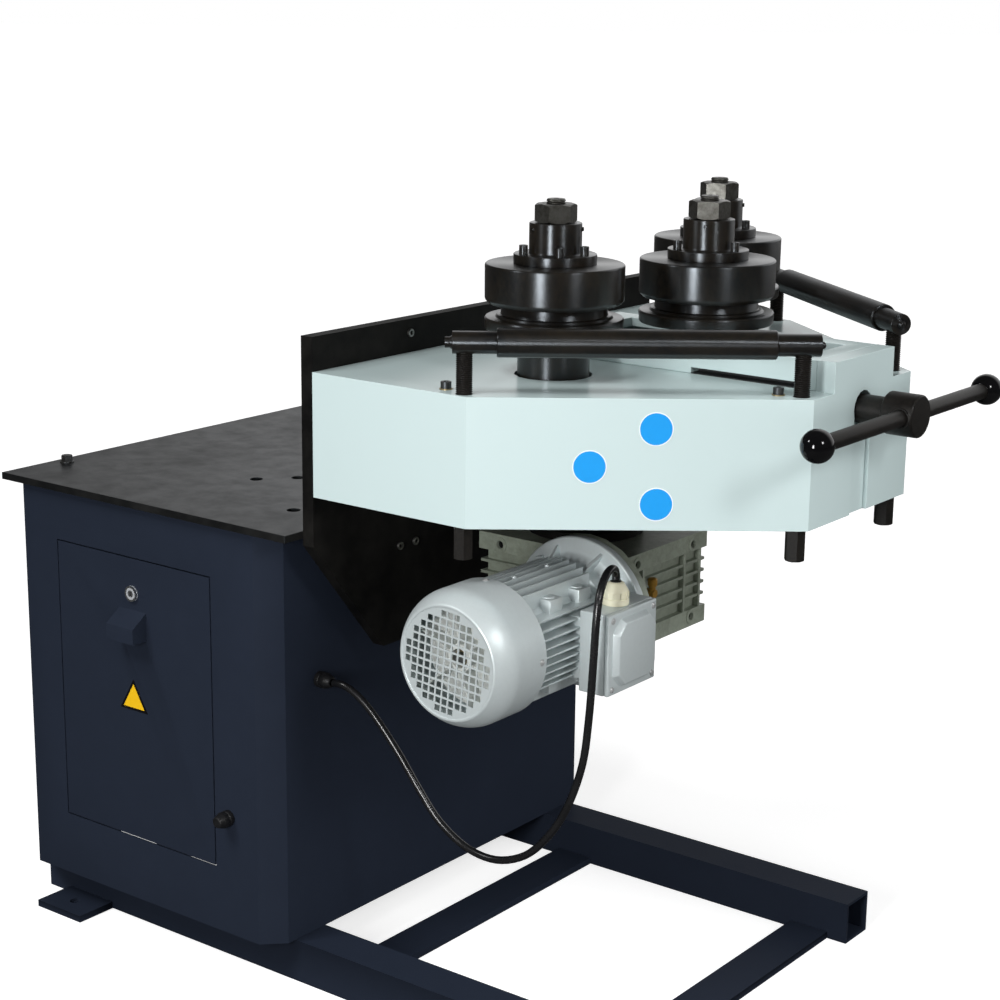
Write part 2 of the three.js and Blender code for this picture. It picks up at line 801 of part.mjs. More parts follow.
// Bearing in its boss under the roof
function spindleBearing() {
  return ring(bearingRadius, running(journalRadius), roofUnderside - bearingHeight, roofUnderside - gap);
}

for (const [name, side, nutTurn] of [["near", -1, 0.12], ["far", 1, 0.35]]) {
  const shoulder = roofUnderside - gap;
  const body = spindle(headBottom + 1, spindleRadius, shoulder);
  const group = rollerSet(name, rollerX, side * rollerY, headTop, body, roofUnderside, nutTurn);
  piece(`${name}_gear`, drivenGear(Math.atan2(side * rollerY, rollerX - outputX)), brightSteel, group);
  piece(`${name}_bearing`, spindleBearing(), brightSteel, group);
}

const carriageLow = ledgeTop + gap;
const carriageHigh = guideCeiling - gap;
const pressFoot = carriageLow + carriageFloor + gap;
const pressLevel = headTop - pressLower;
const pressSpindle = spindle(pressFoot, journalRadius, carriageHigh, pressLevel);
rollerSet("press", pressX, 0, pressLevel, pressSpindle, carriageHigh + gap, 0.5);

// Carriage: bearing block of the pressing roller, open middle for the screw's tip, and the screw's nut
function pressCarriage() {
  const half = channelHalf - gap;
  const inner = half - 12;
  const body = box([-carriageFront, -half, carriageLow], [carriageBack, half, carriageHigh]);
  const room = box(
    [carriageBlock, -inner, carriageLow + carriageFloor],
    [carriageBack - nutLength, inner, carriageHigh + 1],
  );
  return cut(
    body,
    room,
    rod(running(journalRadius), carriageLow + carriageFloor, carriageHigh + 1),
    alongX(rod(running(screwRadius), carriageBlock + 10, carriageBack + 1)).translate([0, 0, screwZ]),
  ).translate([pressX, 0, 0]);
}
piece("press_carriage", pressCarriage(), dullSteel);

// Pressing screw with its thrust collar, hub and sliding T-bar, round the screw's axis
const screwGroup = new THREE.Group();
screwGroup.position.set(0, 0, screwZ);
ringRoller.add(screwGroup);
const screwTip = pressX + screwTipAhead;
const hubEnd = headLength + hubReach;
const hubStart = hubEnd - hubLength;
const screwShape = turned([
  [0, screwTip], [screwRadius - 3, screwTip], [screwRadius, screwTip + 3],
  [screwRadius, blockBack - collarWidth - gap], [collarRadius, blockBack - collarWidth - gap],
  [collarRadius, blockBack - gap], [screwRadius, blockBack - gap], [screwRadius, hubStart - gap],
  [hubBore, hubStart - gap], [hubBore, hubStart + hubBore - gap], [0, hubStart + hubBore - gap],
]);
piece("pressing_screw", alongX(screwShape), blackSteel, screwGroup);
const barX = (hubStart + hubBore + hubEnd) / 2 - 0.5;
const hubShape = turned([
  [0, hubStart + hubBore], [hubBore + gap, hubStart + hubBore], [hubBore + gap, hubStart],
  [hubRadius - 2, hubStart], [hubRadius, hubStart + 2], [hubRadius, hubEnd - 2], [hubRadius - 2, hubEnd],
  [0, hubEnd],
]);
const barHole = alongY(rod(barRadius + gap, -hubRadius - 1, hubRadius + 1)).translate([barX, 0, 0]);
piece("screw_hub", cut(alongX(hubShape), barHole), blackSteel, screwGroup);
const barReach = barLength / 2;
const barTip = barReach + knobSpigotPast;
const neckFlat = Math.sqrt(knobRadius ** 2 - barRadius ** 2);
const barShape = turned([
  [0, -barTip], [knobSpigot, -barTip], [knobSpigot, neckFlat - barReach], [barRadius, neckFlat - barReach],
  [barRadius, barReach - neckFlat], [knobSpigot, barReach - neckFlat], [knobSpigot, barTip], [0, barTip],
]);
piece("t_bar", alongY(barShape).translate([barX, barOffset, 0]), dullSteel, screwGroup);
for (const [name, side] of [["near", -1], ["far", 1]]) {
  const ball = solid(new THREE.SphereGeometry(knobRadius, 12, 8).rotateX(Math.PI / 2));
  const seat = join(
    rod(knobSpigot + gap, -knobSpigotPast - gap, knobRadius + 1),
    rod(barRadius + 1, neckFlat - gap, knobRadius + 1),
  );
  const nearKnob = alongY(cut(ball, seat));
  const knob = side < 0 ? nearKnob : mirroredY(nearKnob);
  piece(`${name}_knob`, knob.translate([barX, barOffset + side * barReach, 0]), blackPlastic, screwGroup);
}

// Guide bar: a tube that rolls on a fixed shaft, and two studs that screw up and down through the head
function guideBar(name, side) {
  const lift = headTop + guideBarLift;
  const bar = new THREE.Group();
  const [x, y] = barPlace(studSpacing / 2);
  bar.position.set(x, side * -y, lift);
  bar.rotation.z = -side * chamferAngle;
  ringRoller.add(bar);
  const reach = studSpacing / 2 + guideShaftOverhang;
  const shaft = rod(guideShaftRadius, guideShaftShift - reach, guideShaftShift + reach);
  const sockets = [-1, 1].map((end) =>
    rod(running(studRadius), -guideShaftRadius - 1, studSocket).translate([(end * studSpacing) / 2, 0, 0]),
  );
  piece(`${name}_guide_shaft`, cut(alongX(shaft), ...sockets), dullSteel, bar);
  const half = studSpacing / 2 - guideTubeEndRoom;
  const [rear, front] = [guideShaftShift - half, guideShaftShift + half];
  const tube = ring(guideTubeRadius, running(guideShaftRadius), rear, front);
  piece(`${name}_guide_tube`, alongX(tube), dullSteel, bar);
  const hexTop = headBottom - gap - lift;
  const stud = join(
    rod(studRadius, hexTop - 2, studSocket - gap),
    prism(hexagon(hexAcross), hexTop - hexLength, hexTop),
  );
  for (const [end, place] of [["rear", -1], ["front", 1]]) {
    piece(`${name}_${end}_stud`, stud, dullSteel, bar).position.x = (place * studSpacing) / 2;
  }
}
guideBar("near", -1);
guideBar("far", 1);

// Adapter that carries the gearbox under the head
const [adapterLow, adapterHigh] = [gearboxTop + gap, headBottom - gap];
const adapter = turned([
  [outputRadius + outputRoom, adapterLow], [adapterRadius, adapterLow],
  [adapterRadius, adapterLow + adapterFlange], [adapterNeck, adapterLow + adapterFlange],
  [adapterNeck, adapterHigh - adapterFlange], [adapterRadius, adapterHigh - adapterFlange],
  [adapterRadius, adapterHigh], [outputRadius + outputRoom, adapterHigh],
]);
piece("gearbox_adapter", adapter.translate([outputX, 0, 0]), castAluminium);

// Gearbox housing: bands above and below, ribs between them, lugs with holes, input flange and inner room
function gearboxHousing() {
  const low = gearboxTop - gearboxHeight;
  const [x0, x1] = [outputX - gearboxWheelSide, outputX + gearboxWormSide];
  const y = gearboxHalfLength;
  const r = gearboxRecess;
  const core = box([x0 + r, -y + r, low], [x1 - r, y - r, gearboxTop]);
  const bands = [low, gearboxTop - gearboxBand].map((z) => box([x0, -y, z], [x1, y, z + gearboxBand]));
  const room = gearboxHeight - 2 * gearboxBand;
  const ribs = [1, 2, 3, 4].map((i) => {
    const z = low + gearboxBand + (room * i) / 5 - gearboxRib / 2;
    return box([x0 + 2, -y + 2, z], [x1 - 2, y - 2, z + gearboxRib]);
  });
  const lugHoles = [low + gearboxLugEdge, gearboxTop - gearboxLugEdge].flatMap((z) => [
    ...[gearboxLugInset - y, y - gearboxLugInset].map((place) =>
      alongX(rod(gearboxLugRadius, x1 - gearboxLugDepth, x1 + 1)).translate([0, place, z]),
    ),
    alongY(rod(gearboxLugRadius, -y - 1, -y + gearboxLugDepth)).translate([x0 + gearboxLugInset, 0, z]),
  ]);
  const flange = alongY(join(
    rod(motorFlangeRadius, -inputFace + gap, -inputFace + motorFlangeThickness),
    rod(70, -inputFace + 5, -y + r + 1),
  )).translate([motorX, 0, motorZ]);
  const wheelHalf = wheelWidth / 2 + 4;
  const wheelRoom = join(
    rod(wheelRadius + 3, motorZ - wheelHalf, motorZ + wheelHalf),
    rod(running(outputRadius), motorZ - wheelWidth, gearboxTop + 1),
  ).translate([outputX, 0, 0]);
  const wormRoom = alongY(rod(wormRadius + 3, -inputFace - 1, wormLength / 2 + 4));
  const hollows = join(wheelRoom, wormRoom.translate([motorX, 0, motorZ]));
  return cut(join(core, ...bands, ...ribs, flange), ...lugHoles, hollows);
}
piece("gearbox_housing", gearboxHousing(), castAluminium);

// Output shaft with its pinion
const pinionShaft = join(
  rod(outputRadius, motorZ - wheelWidth + gap, gearLow + gearWidth),
  prism(toothedOutline(pinionTeeth, pinionPhase), gearLow, gearLow + gearWidth),
);
piece("pinion_shaft", pinionShaft.translate([outputX, 0, 0]), brightSteel);

// Worm wheel with its hub, a notch for each tooth
function wormWheel() {
  const rim = Array.from({ length: 2 * wheelTeeth }, (_, i) => {
    const angle = (i * Math.PI) / wheelTeeth;
    const r = wheelRadius - (i % 2) * 3;
    return [r * Math.cos(angle), r * Math.sin(angle)];
  });
  const wheel = prism(rim, motorZ - wheelWidth / 2, motorZ + wheelWidth / 2);
  const bore = rod(outputRadius + gap, motorZ - wheelWidth, motorZ + wheelWidth);
  return cut(wheel, bore).translate([outputX, 0, 0]);
}
piece("worm_wheel", wormWheel(), bronze);

// Motor round its own axis, which runs along Y
const motor = new THREE.Group();
motor.position.set(motorX, 0, motorZ);
ringRoller.add(motor);

// The worm is bored for the motor's shaft
const wormBody = turned([
  [motorShaftRadius + gap, -inputFace - wormStep], [wormRadius - wormStep, -inputFace - wormStep],
  [wormRadius - wormStep, -wormLength / 2], [wormRadius, wormStep - wormLength / 2],
  [wormRadius, wormLength / 2 - wormStep], [wormRadius - wormStep, wormLength / 2], [0, wormLength / 2],
  [0, -wormBoreEnd], [motorShaftRadius + gap, -wormBoreEnd],
]);
piece("worm", alongY(wormBody), brightSteel, motor);

const motorBore = running(motorShaftRadius);
const flangeBack = -inputFace - motorFlangeThickness;
const motorFlange = turned([
  [motorBore, -motorBodyStart], [motorCoreRadius + 6, -motorBodyStart], [motorCoreRadius + 2, flangeBack - 8],
  [motorFlangeRadius - 12, flangeBack], [motorFlangeRadius, flangeBack], [motorFlangeRadius, -inputFace],
  [wormRadius + 2, -inputFace], [wormRadius + 2, -inputFace - 8], [motorBore, -inputFace - 8],
]);
piece("motor_flange", alongY(motorFlange), motorPaint, motor);

// Motor body: round core with fins up, down and to both sides, corner pads and the seat of the terminal box
function motorBody() {
  const [from, to] = [-motorBodyEnd, -motorBodyStart - gap];
  const along = (low, high) => box([low[0], from, low[1]], [high[0], to, high[1]]);
  const reach = motorFinRadius;
  const fins = Array.from({ length: finCount }, (_, i) => {
    const place = (i - (finCount - 1) / 2) * finPitch;
    const edge = finThickness / 2;
    return join(
      along([-reach, place - edge], [reach, place + edge]),
      along([place - edge, -reach], [place + edge, reach]),
    );
  });
  const envelope = alongY(rod(motorFinRadius, from + 6, to));
  const coverSeat = rod(coverRadius - coverSheet - gap, from, from + 10);
  const core = alongY(join(rod(motorCoreRadius, from, to), coverSeat));
  const bore = alongY(rod(rotorRadius + airGap, from - 1, to - motorEndWall));
  const shaftBore = alongY(rod(motorBore, to - 1.5 * motorEndWall, to + 1));
  const pads = motorPadY.map((y) => {
    const pad = box(
      [motorPadInner, -y - motorPadHalf, motorPadInner],
      [motorPadOuter, -y + motorPadHalf, motorPadOuter],
    );
    return join(pad, pad.mirror([1, 0, 0]), pad.mirror([0, 0, 1]), pad.mirror([1, 0, 0]).mirror([0, 0, 1]));
  });
  const seat = box(
    [motorCoreRadius / 2, -boxCentreY - boxSize / 2 + gap, -boxCentreDrop - boxSize / 2 + gap],
    [boxReach - boxDepth - gap, -motorBodyStart - gap, -boxCentreDrop + boxSize / 2 - gap],
  );
  const finned = join(...fins).intersect(envelope);
  const half = boxSize / 2 + gap;
  const boxRoom = box(
    [boxReach - boxDepth - gap, -boxCentreY - half, -boxCentreDrop - half],
    [coverRadius, -boxCentreY + half, -boxCentreDrop + half],
  );
  return cut(join(core, finned, ...pads, seat), bore, shaftBore, boxRoom);
}
piece("motor_body", motorBody(), motorPaint, motor);

// Rotor on its shaft, which reaches into the worm and carries the fan
const shaftEnd = fanInset - coverEnd - 2;
const [rotorEnd, rotorStart] = [rotorInset - motorBodyEnd, -motorBodyStart - rotorInset];
const rotorShape = turned([
  [0, shaftEnd], [fanBoreRadius, shaftEnd], [fanBoreRadius, -motorBodyEnd - 2],
  [motorShaftRadius, -motorBodyEnd - 2], [motorShaftRadius, rotorEnd], [rotorRadius, rotorEnd],
  [rotorRadius, rotorStart], [motorShaftRadius, rotorStart], [motorShaftRadius, -wormBoreEnd - 2],
  [0, -wormBoreEnd - 2],
]);
piece("motor_rotor", alongY(rotorShape), brightSteel, motor);

// Cooling fan with straight blades
function coolingFan() {
  const [from, to] = [fanInset - coverEnd, -motorBodyEnd - 6];
  const hub = ring(fanHubRadius, fanBoreRadius + gap, from, to);
  const inner = fanHubRadius - 4;
  const disc = ring(fanRadius - 4, inner, to - 4, to);
  const edge = fanBladeThickness / 2;
  const blade = box([inner, -edge, from + 10], [fanRadius, edge, to - 1]);
  const blades = Array.from({ length: fanBlades }, (_, i) => blade.rotate([0, 0, (i * 360) / fanBlades]));
  return alongY(join(hub, disc, ...blades));
}
piece("cooling_fan", coolingFan(), blackPlastic, motor);

// Fan cover: a drawn cup that narrows to its end, which has a grid of square holes
function fanCover() {
  const back = -coverStart;
  const end = -coverEnd;
  const steps = 5;
  const shoulder = (inset, reach) =>
    Array.from({ length: steps + 1 }, (_, i) => {
      const share = (i / steps) * reach;
      const narrowing = (coverRadius - coverFaceRadius) * share ** 2;
      return [coverRadius - inset - narrowing, end + coverShoulder * (1 - share)];
    });
  const outer = [[coverRadius, back], ...shoulder(0, 1), [0, end]];
  const inner = [[0, end + coverSheet], ...shoulder(coverSheet, 1 - coverSheet / coverShoulder).reverse()];
  const cup = turned([...outer, ...inner, [coverRadius - coverSheet, back]]);
  const count = Math.floor(grilleRadius / grillePitch);
  const holes = [];
  for (let i = -count; i <= count; i += 1) {
    for (let j = -count; j <= count; j += 1) {
      if (Math.hypot(i, j) * grillePitch > grilleRadius) continue;
      const [x, y] = [i * grillePitch, j * grillePitch];
      const half = grilleHole / 2;
      holes.push(box([x - half, y - half, end - 1], [x + half, y + half, end + coverSheet + 1]));
    }
  }
  return alongY(cut(cup, wasm.Manifold.union(holes)));
}
piece("fan_cover", fanCover(), motorPaint, motor);

// Terminal box on the motor's side, with its lid
function terminalBox() {
  const x0 = boxReach - boxDepth;
  const half = boxSize / 2;
  const outer = box([x0, -boxCentreY - half, -half], [boxReach, -boxCentreY + half, half]);
  const inner = box(
    [x0 + boxWall, -boxCentreY - half + boxWall, -half + boxWall],
    [boxReach + 1, -boxCentreY + half - boxWall, half - boxWall],
  );
  return cut(outer, inner).translate([0, 0, -boxCentreDrop]);
}
piece("terminal_box", terminalBox(), motorPaint, motor);

// Lid with a raised panel whose corners are cut for the screws
function terminalBoxLid() {
  const half = boxSize / 2;
  const plate = box([0, -half, -half], [lidThickness, half, half]);
  const octagon = (reach) => {
    const c = reach - lidPanelCut;
    return [
      [reach, c], [c, reach], [-c, reach], [-reach, c],
      [-reach, -c], [-c, -reach], [c, -reach], [reach, -c],
    ];
  };
  const level = (reach, low) => prism(octagon(reach), low, low + 0.5);
  const foot = level(half - lidPanelInset, lidThickness - 1);
  const top = level(half - lidPanelInset - lidPanelSlope, lidThickness + lidPanel - 0.5);
  const panel = alongX(wasm.Manifold.hull([foot, top]));
  return join(plate, panel).translate([boxReach + gap, -boxCentreY, -boxCentreDrop]);
}
piece("terminal_box_lid", terminalBoxLid(), motorPaint, motor);

// Glands
const boxTop = motorZ - boxCentreDrop + boxSize / 2;
const glandTop = boxTop + gap + motorGlandHeight;
const motorGland = turned([
  [0, boxTop + gap], [motorGlandRadius - 2, boxTop + gap], [motorGlandRadius - 1, boxTop + 7],
  [motorGlandRadius, boxTop + 9], [motorGlandRadius, glandTop - 8], [motorGlandRadius - 4, glandTop - 3],
  [motorGlandRadius - 8, glandTop], [0, glandTop],
], 16);
piece("motor_gland", motorGland.translate([motorGlandX, motorGlandY, 0]), creamPlastic);

const cableGland = turned([
  [0, gap], [wallGlandRadius, gap], [wallGlandRadius, 9], [wallGlandRadius - 2, 10],
  [wallGlandRadius - 2, 20], [cableRadius + 1.5, wallGlandLength], [0, wallGlandLength],
], 16);
const wallGlandZ = headBottom - wallGlandDrop;
piece("wall_gland", alongX(cableGland).translate([cabinetRight, wallGlandY, wallGlandZ]), blackPlastic);
const frontGlandZ = headBottom - frontGlandDrop;
piece(
  "front_gland",
  cableGland.rotate([90, 0, 0]).translate([frontGlandX, -cabinetFront, frontGlandZ]),
  blackPlastic,
);

// Motor cable: out of the gland in a small arch, down past the terminal box, round in a hanging loop
// and up to the gland in the cabinet's wall. Its points are chosen by hand.
const cableStart = [motorGlandX, motorGlandY, glandTop + gap];
const cableEnd = [cabinetRight + wallGlandLength + gap, wallGlandY, wallGlandZ];
const cableRoute = [
  cableStart,
  [motorGlandX, motorGlandY, glandTop + 12],
  [347, -210, 632],
  [352, -226, 643],
  [358, -246, 643],
  [364, -265, 631],
  [368, -277, 610],
  [370, -281, 578],
  [368, -282, 526],
  [363, -282, 450],
  [355, -282, 390],
  [335, -284, 330],
  [310, -286, 287],
  [274, -288, 250],
  [230, -291, 233],
  [186, -294, 238],
  [142, -297, 264],
  [108, -299, 302],
  [78, -301, 341],
  [38, -304, 386],
  [12, -306, 408],
  [-12, wallGlandY, wallGlandZ],
  cableEnd,
];
const cablePoints = cableRoute.map((p) => new THREE.Vector3(...p));
const cableCurve = new THREE.CatmullRomCurve3(cablePoints, false, "centripetal");
const cableSection = new THREE.Shape(
  Array.from({ length: 8 }, (_, i) => {
    const angle = (i * Math.PI) / 4;
    return new THREE.Vector2(cableRadius * Math.cos(angle), cableRadius * Math.sin(angle));
  }),
);
const swept = { steps: 44, extrudePath: cableCurve, bevelEnabled: false };
piece("motor_cable", solid(new THREE.ExtrudeGeometry(cableSection, swept)), blackRubber);

export default ringRoller;
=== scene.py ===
"""Ring roller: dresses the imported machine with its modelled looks. Shapes are written in millimetres
and finished in metres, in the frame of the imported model."""

import math

import bmesh
import bpy
from mathutils import Matrix, Vector


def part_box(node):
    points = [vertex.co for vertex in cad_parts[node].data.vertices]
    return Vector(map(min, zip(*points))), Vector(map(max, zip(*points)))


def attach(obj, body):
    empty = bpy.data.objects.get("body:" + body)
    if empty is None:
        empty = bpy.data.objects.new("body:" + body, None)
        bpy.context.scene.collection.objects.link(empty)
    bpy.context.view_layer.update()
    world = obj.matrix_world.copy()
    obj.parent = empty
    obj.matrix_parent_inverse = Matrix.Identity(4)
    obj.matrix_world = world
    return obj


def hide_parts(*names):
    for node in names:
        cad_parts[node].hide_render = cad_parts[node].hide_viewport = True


bl_info = {
    "name": "Ring Roller",
    "version": (1, 0, 0),
    "blender": (4, 5, 0),
    "location": "View3D > Sidebar > Ring Roller",
    "description": "Builds the looks of a motor-driven ring roller round its packed model",
    "category": "Object",
}

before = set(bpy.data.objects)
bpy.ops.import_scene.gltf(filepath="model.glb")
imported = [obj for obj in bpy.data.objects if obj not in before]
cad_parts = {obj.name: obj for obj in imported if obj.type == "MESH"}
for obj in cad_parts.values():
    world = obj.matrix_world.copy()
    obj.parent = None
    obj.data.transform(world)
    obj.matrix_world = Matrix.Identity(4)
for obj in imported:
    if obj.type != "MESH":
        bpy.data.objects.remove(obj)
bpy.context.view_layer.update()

MM = 0.001


def srgb(red, green, blue):
    """Linear colour of an 8-bit screen colour."""
    return tuple(
        (v / 255 / 12.92) if v <= 10 else ((v / 255 + 0.055) / 1.055) ** 2.4 for v in (red, green, blue)
    )


def low(node):
    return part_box(node)[0] / MM


def high(node):
    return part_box(node)[1] / MM


def middle(node):
    return (low(node) + high(node)) / 2


def span(node, axis):
    """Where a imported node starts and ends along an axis."""
    return getattr(low(node), axis), getattr(high(node), axis)


def length(name, description, metres):
    return bpy.props.FloatProperty(
        name=name, description=description, default=metres, min=0, subtype="DISTANCE", unit="LENGTH"
    )


class RingRollerSizes(bpy.types.PropertyGroup):
    """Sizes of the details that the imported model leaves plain."""

    edge: length("Sheet edge", "Rounding of the edges of plates and sheets", 0.0009)
    cable: length("Cable", "Diameter of the motor cable", 0.010)
    spindle_thread: length("Spindle thread", "Pitch of the thread on a spindle's end", 0.0025)
    screw_thread: length("Screw thread", "Pitch of the pressing screw", 0.006)
    fin_pitch: length("Fin pitch", "Distance between the motor's cooling fins", 0.0106)
    grille_pitch: length("Grille pitch", "Distance between the square holes of the fan cover", 0.01005)
    grille_hole: length("Grille hole", "Width of a square hole of the fan cover", 0.0077)


def size_of(name):
    """One of the panel's sizes in millimetres."""
    return getattr(bpy.context.scene.ring_roller_sizes, name) / MM


def colour(name, description, value):
    return bpy.props.FloatVectorProperty(
        name=name, description=description, default=value, size=3, min=0, max=1, subtype="COLOR"
    )


class RingRollerColours(bpy.types.PropertyGroup):
    """Colours of the paints and materials."""

    head: colour("Head", "Paint of the head box", srgb(194, 211, 211))
    cabinet: colour("Cabinet", "Paint of the cabinet", srgb(33, 39, 51))
    plate: colour("Plate", "Blackened plates", srgb(12, 12, 12))
    rollers: colour("Rollers", "Black oxide of the rollers", srgb(7, 7, 7))
    bars: colour("Bars", "Black oxide of bars and studs", srgb(24, 23, 22))
    motor: colour("Motor", "Paint of the motor", srgb(206, 215, 216))
    gearbox: colour("Gearbox", "Cast aluminium", srgb(158, 166, 152))
    gland: colour("Gland", "Cream plastic", srgb(232, 230, 206))
    sticker: colour("Sticker", "Blue of the round stickers", srgb(28, 150, 226))
    sign: colour("Sign", "Yellow of the sign", srgb(240, 190, 20))


# Node groups and materials


def group(name, inputs, outputs):
    """A shader node group with the listed inputs and outputs, and its two end nodes."""
    made = bpy.data.node_groups.new(name, "ShaderNodeTree")
    for label, kind, value in inputs:
        socket = made.interface.new_socket(label, in_out="INPUT", socket_type=kind)
        socket.default_value = value
    for label, kind in outputs:
        made.interface.new_socket(label, in_out="OUTPUT", socket_type=kind)
    return made, made.nodes.new("NodeGroupInput"), made.nodes.new("NodeGroupOutput")


def feed(tree, sockets, values):
    """Sets each socket to its value, or links it to the output given for it."""
    for socket, value in zip(sockets, values):
        if isinstance(value, bpy.types.NodeSocket):
            tree.links.new(value, socket)
        else:
            socket.default_value = value


def math_node(tree, operation, first, second, clamp=False):
    node = tree.nodes.new("ShaderNodeMath")
    node.operation = operation
    node.use_clamp = clamp
    feed(tree, node.inputs, (first, second))
    return node.outputs[0]


def vector_node(tree, operation, *values, result="Vector"):
    node = tree.nodes.new("ShaderNodeVectorMath")
    node.operation = operation
    feed(tree, node.inputs, values)
    return node.outputs[result]


def object_place(tree):
    return tree.nodes.new("ShaderNodeTexCoord").outputs["Object"]


def noise_node(tree, scale, detail, roughness=0.55, place=None):
    """Noise of a scale that comes from a group's input, over the piece's own place."""
    node = tree.nodes.new("ShaderNodeTexNoise")
    sockets = [node.inputs[label] for label in ("Vector", "Scale", "Detail", "Roughness")]
    feed(tree, sockets, (place or object_place(tree), scale, detail, roughness))
    return node.outputs["Fac"]


def remap(tree, value, low_in, high_in, low_out=0, high_out=1):
    node = tree.nodes.new("ShaderNodeMapRange")
    sockets = [node.inputs[label] for label in ("Value", "From Min", "From Max", "To Min", "To Max")]
    feed(tree, sockets, (value, low_in, high_in, low_out, high_out))
    return node.outputs["Result"]


def make_smudges():
    """Broad, soft patches with finer ones inside, such as oil film and handling leave."""
    tree, into, out = group(
        "roller_smudges", [("Scale", "NodeSocketFloat", 6.0), ("Fine", "NodeSocketFloat", 40.0)],
        [("Broad", "NodeSocketFloat"), ("Fine", "NodeSocketFloat")],
    )
    broad = remap(tree, noise_node(tree, into.outputs["Scale"], 3.0), 0.35, 0.68)
    fine = remap(tree, noise_node(tree, into.outputs["Fine"], 6.0, 0.7), 0.4, 0.72)
    feed(tree, (out.inputs["Broad"], out.inputs["Fine"]), (broad, fine))


def make_grain():
    """Even fine grain for cast, sprayed and moulded surfaces."""
    tree, into, out = group(
        "roller_grain", [("Scale", "NodeSocketFloat", 900.0)], [("Value", "NodeSocketFloat")]
    )
    tree.links.new(noise_node(tree, into.outputs["Scale"], 2.0, 0.5), out.inputs["Value"])


def make_turning():
    """Rings that a lathe tool leaves round an axis: they run by radius and by place along the axis."""
    tree, into, out = group(
        "roller_turning",
        [
            ("Centre", "NodeSocketVector", (0, 0, 0)), ("Axis", "NodeSocketVector", (0, 0, 1)),
            ("Scale", "NodeSocketFloat", 900.0),
        ],
        [("Rings", "NodeSocketFloat")],
    )
    centre, axis, scale = (into.outputs[label] for label in ("Centre", "Axis", "Scale"))
    away = vector_node(tree, "SUBTRACT", object_place(tree), centre)
    side = vector_node(tree, "CROSS_PRODUCT", away, axis)
    radius = vector_node(tree, "LENGTH", side, result="Value")
    along = vector_node(tree, "DOT_PRODUCT", away, axis, result="Value")
    joined = tree.nodes.new("ShaderNodeCombineXYZ")
    tree.links.new(math_node(tree, "ADD", radius, along), joined.inputs[0])
    tree.links.new(math_node(tree, "MULTIPLY", radius, 0.7), joined.inputs[1])
    rings = remap(tree, noise_node(tree, scale, 2.0, place=joined.outputs[0]), 0.3, 0.7)
    tree.links.new(rings, out.inputs["Rings"])


FINISHES = {}
STEEL_BLUE = (0.84, 0.92, 1.0)


class Finish:
    """One material: a base colour that the smudges darken or lighten, with grain or turning marks."""

    def __init__(self, name, base, roughness, metallic=0):
        self.material = FINISHES[name] = bpy.data.materials.new(name)
        self.material.use_nodes = True
        self.tree = self.material.node_tree
        self.base, self.roughness = tuple(base), roughness
        self.set(Metallic=metallic)

    def set(self, **values):
        """Gives the shader's inputs values, or links them."""
        inputs = self.tree.nodes["Principled BSDF"].inputs
        feed(self.tree, [inputs[name.replace("_", " ")] for name in values], values.values())
        return self

    def place(self, node_group, **values):
        node = self.tree.nodes.new("ShaderNodeGroup")
        node.node_tree = bpy.data.node_groups[node_group]
        feed(self.tree, [node.inputs[label] for label in values], values.values())
        return node.outputs

    def patches(self, tint, broad, fine, scale, fine_scale, rough):
        """Mixes a second colour in by the smudges, and roughens the surface there."""
        masks = self.place("roller_smudges", Scale=scale, Fine=fine_scale)
        shares = [
            math_node(self.tree, "MULTIPLY", masks[label], share)
            for label, share in (("Broad", broad), ("Fine", fine))
        ]
        amount = math_node(self.tree, "ADD", *shares, clamp=True)
        mix = self.tree.nodes.new("ShaderNodeMix")
        mix.data_type = "RGBA"
        sockets = [mix.inputs[label] for label in ("A", "B", "Factor")]
        feed(self.tree, sockets, ((*self.base, 1), (*tint, 1), amount))
        spread = remap(self.tree, amount, 0, 1, self.roughness, min(1, self.roughness + rough))
        return self.set(Base_Color=mix.outputs["Result"], Roughness=spread)

    def relief(self, value, strength, distance):
        """Turns a mask into bump."""
        bump = self.tree.nodes.new("ShaderNodeBump")
        sockets = [bump.inputs[label] for label in ("Height", "Strength", "Distance")]
        feed(self.tree, sockets, (value, strength, distance))
        return self.set(Normal=bump.outputs["Normal"])

    def grain(self, scale, strength, distance):
        return self.relief(self.place("roller_grain", Scale=scale)["Value"], strength, distance)

    def rings(self, centre, axis, scale, strength, distance):
        masks = self.place("roller_turning", Centre=centre, Axis=axis, Scale=scale)
        return self.relief(masks["Rings"], strength, distance)

    def brush(self, centre, axis, amount):
        """Draws highlights out across the marks that turning leaves round an axis."""
        out = vector_node(self.tree, "SUBTRACT", object_place(self.tree), centre)
        turned = self.tree.nodes.new("ShaderNodeVectorTransform")
        turned.convert_from, turned.convert_to = "OBJECT", "WORLD"
        along = vector_node(self.tree, "CROSS_PRODUCT", axis, out)
        feed(self.tree, (turned.inputs["Vector"],), (along,))
        facing = self.tree.nodes.new("ShaderNodeNewGeometry").outputs["Normal"]
        across = vector_node(self.tree, "CROSS_PRODUCT", facing, turned.outputs["Vector"])
        return self.set(Tangent=across, Anisotropic=amount)

    def shine(self, level, tint=(1, 1, 1)):
        """Sets how strongly the surface mirrors and the hue of its sheen."""
        return self.set(Specular_IOR_Level=level, Specular_Tint=(*tint, 1))


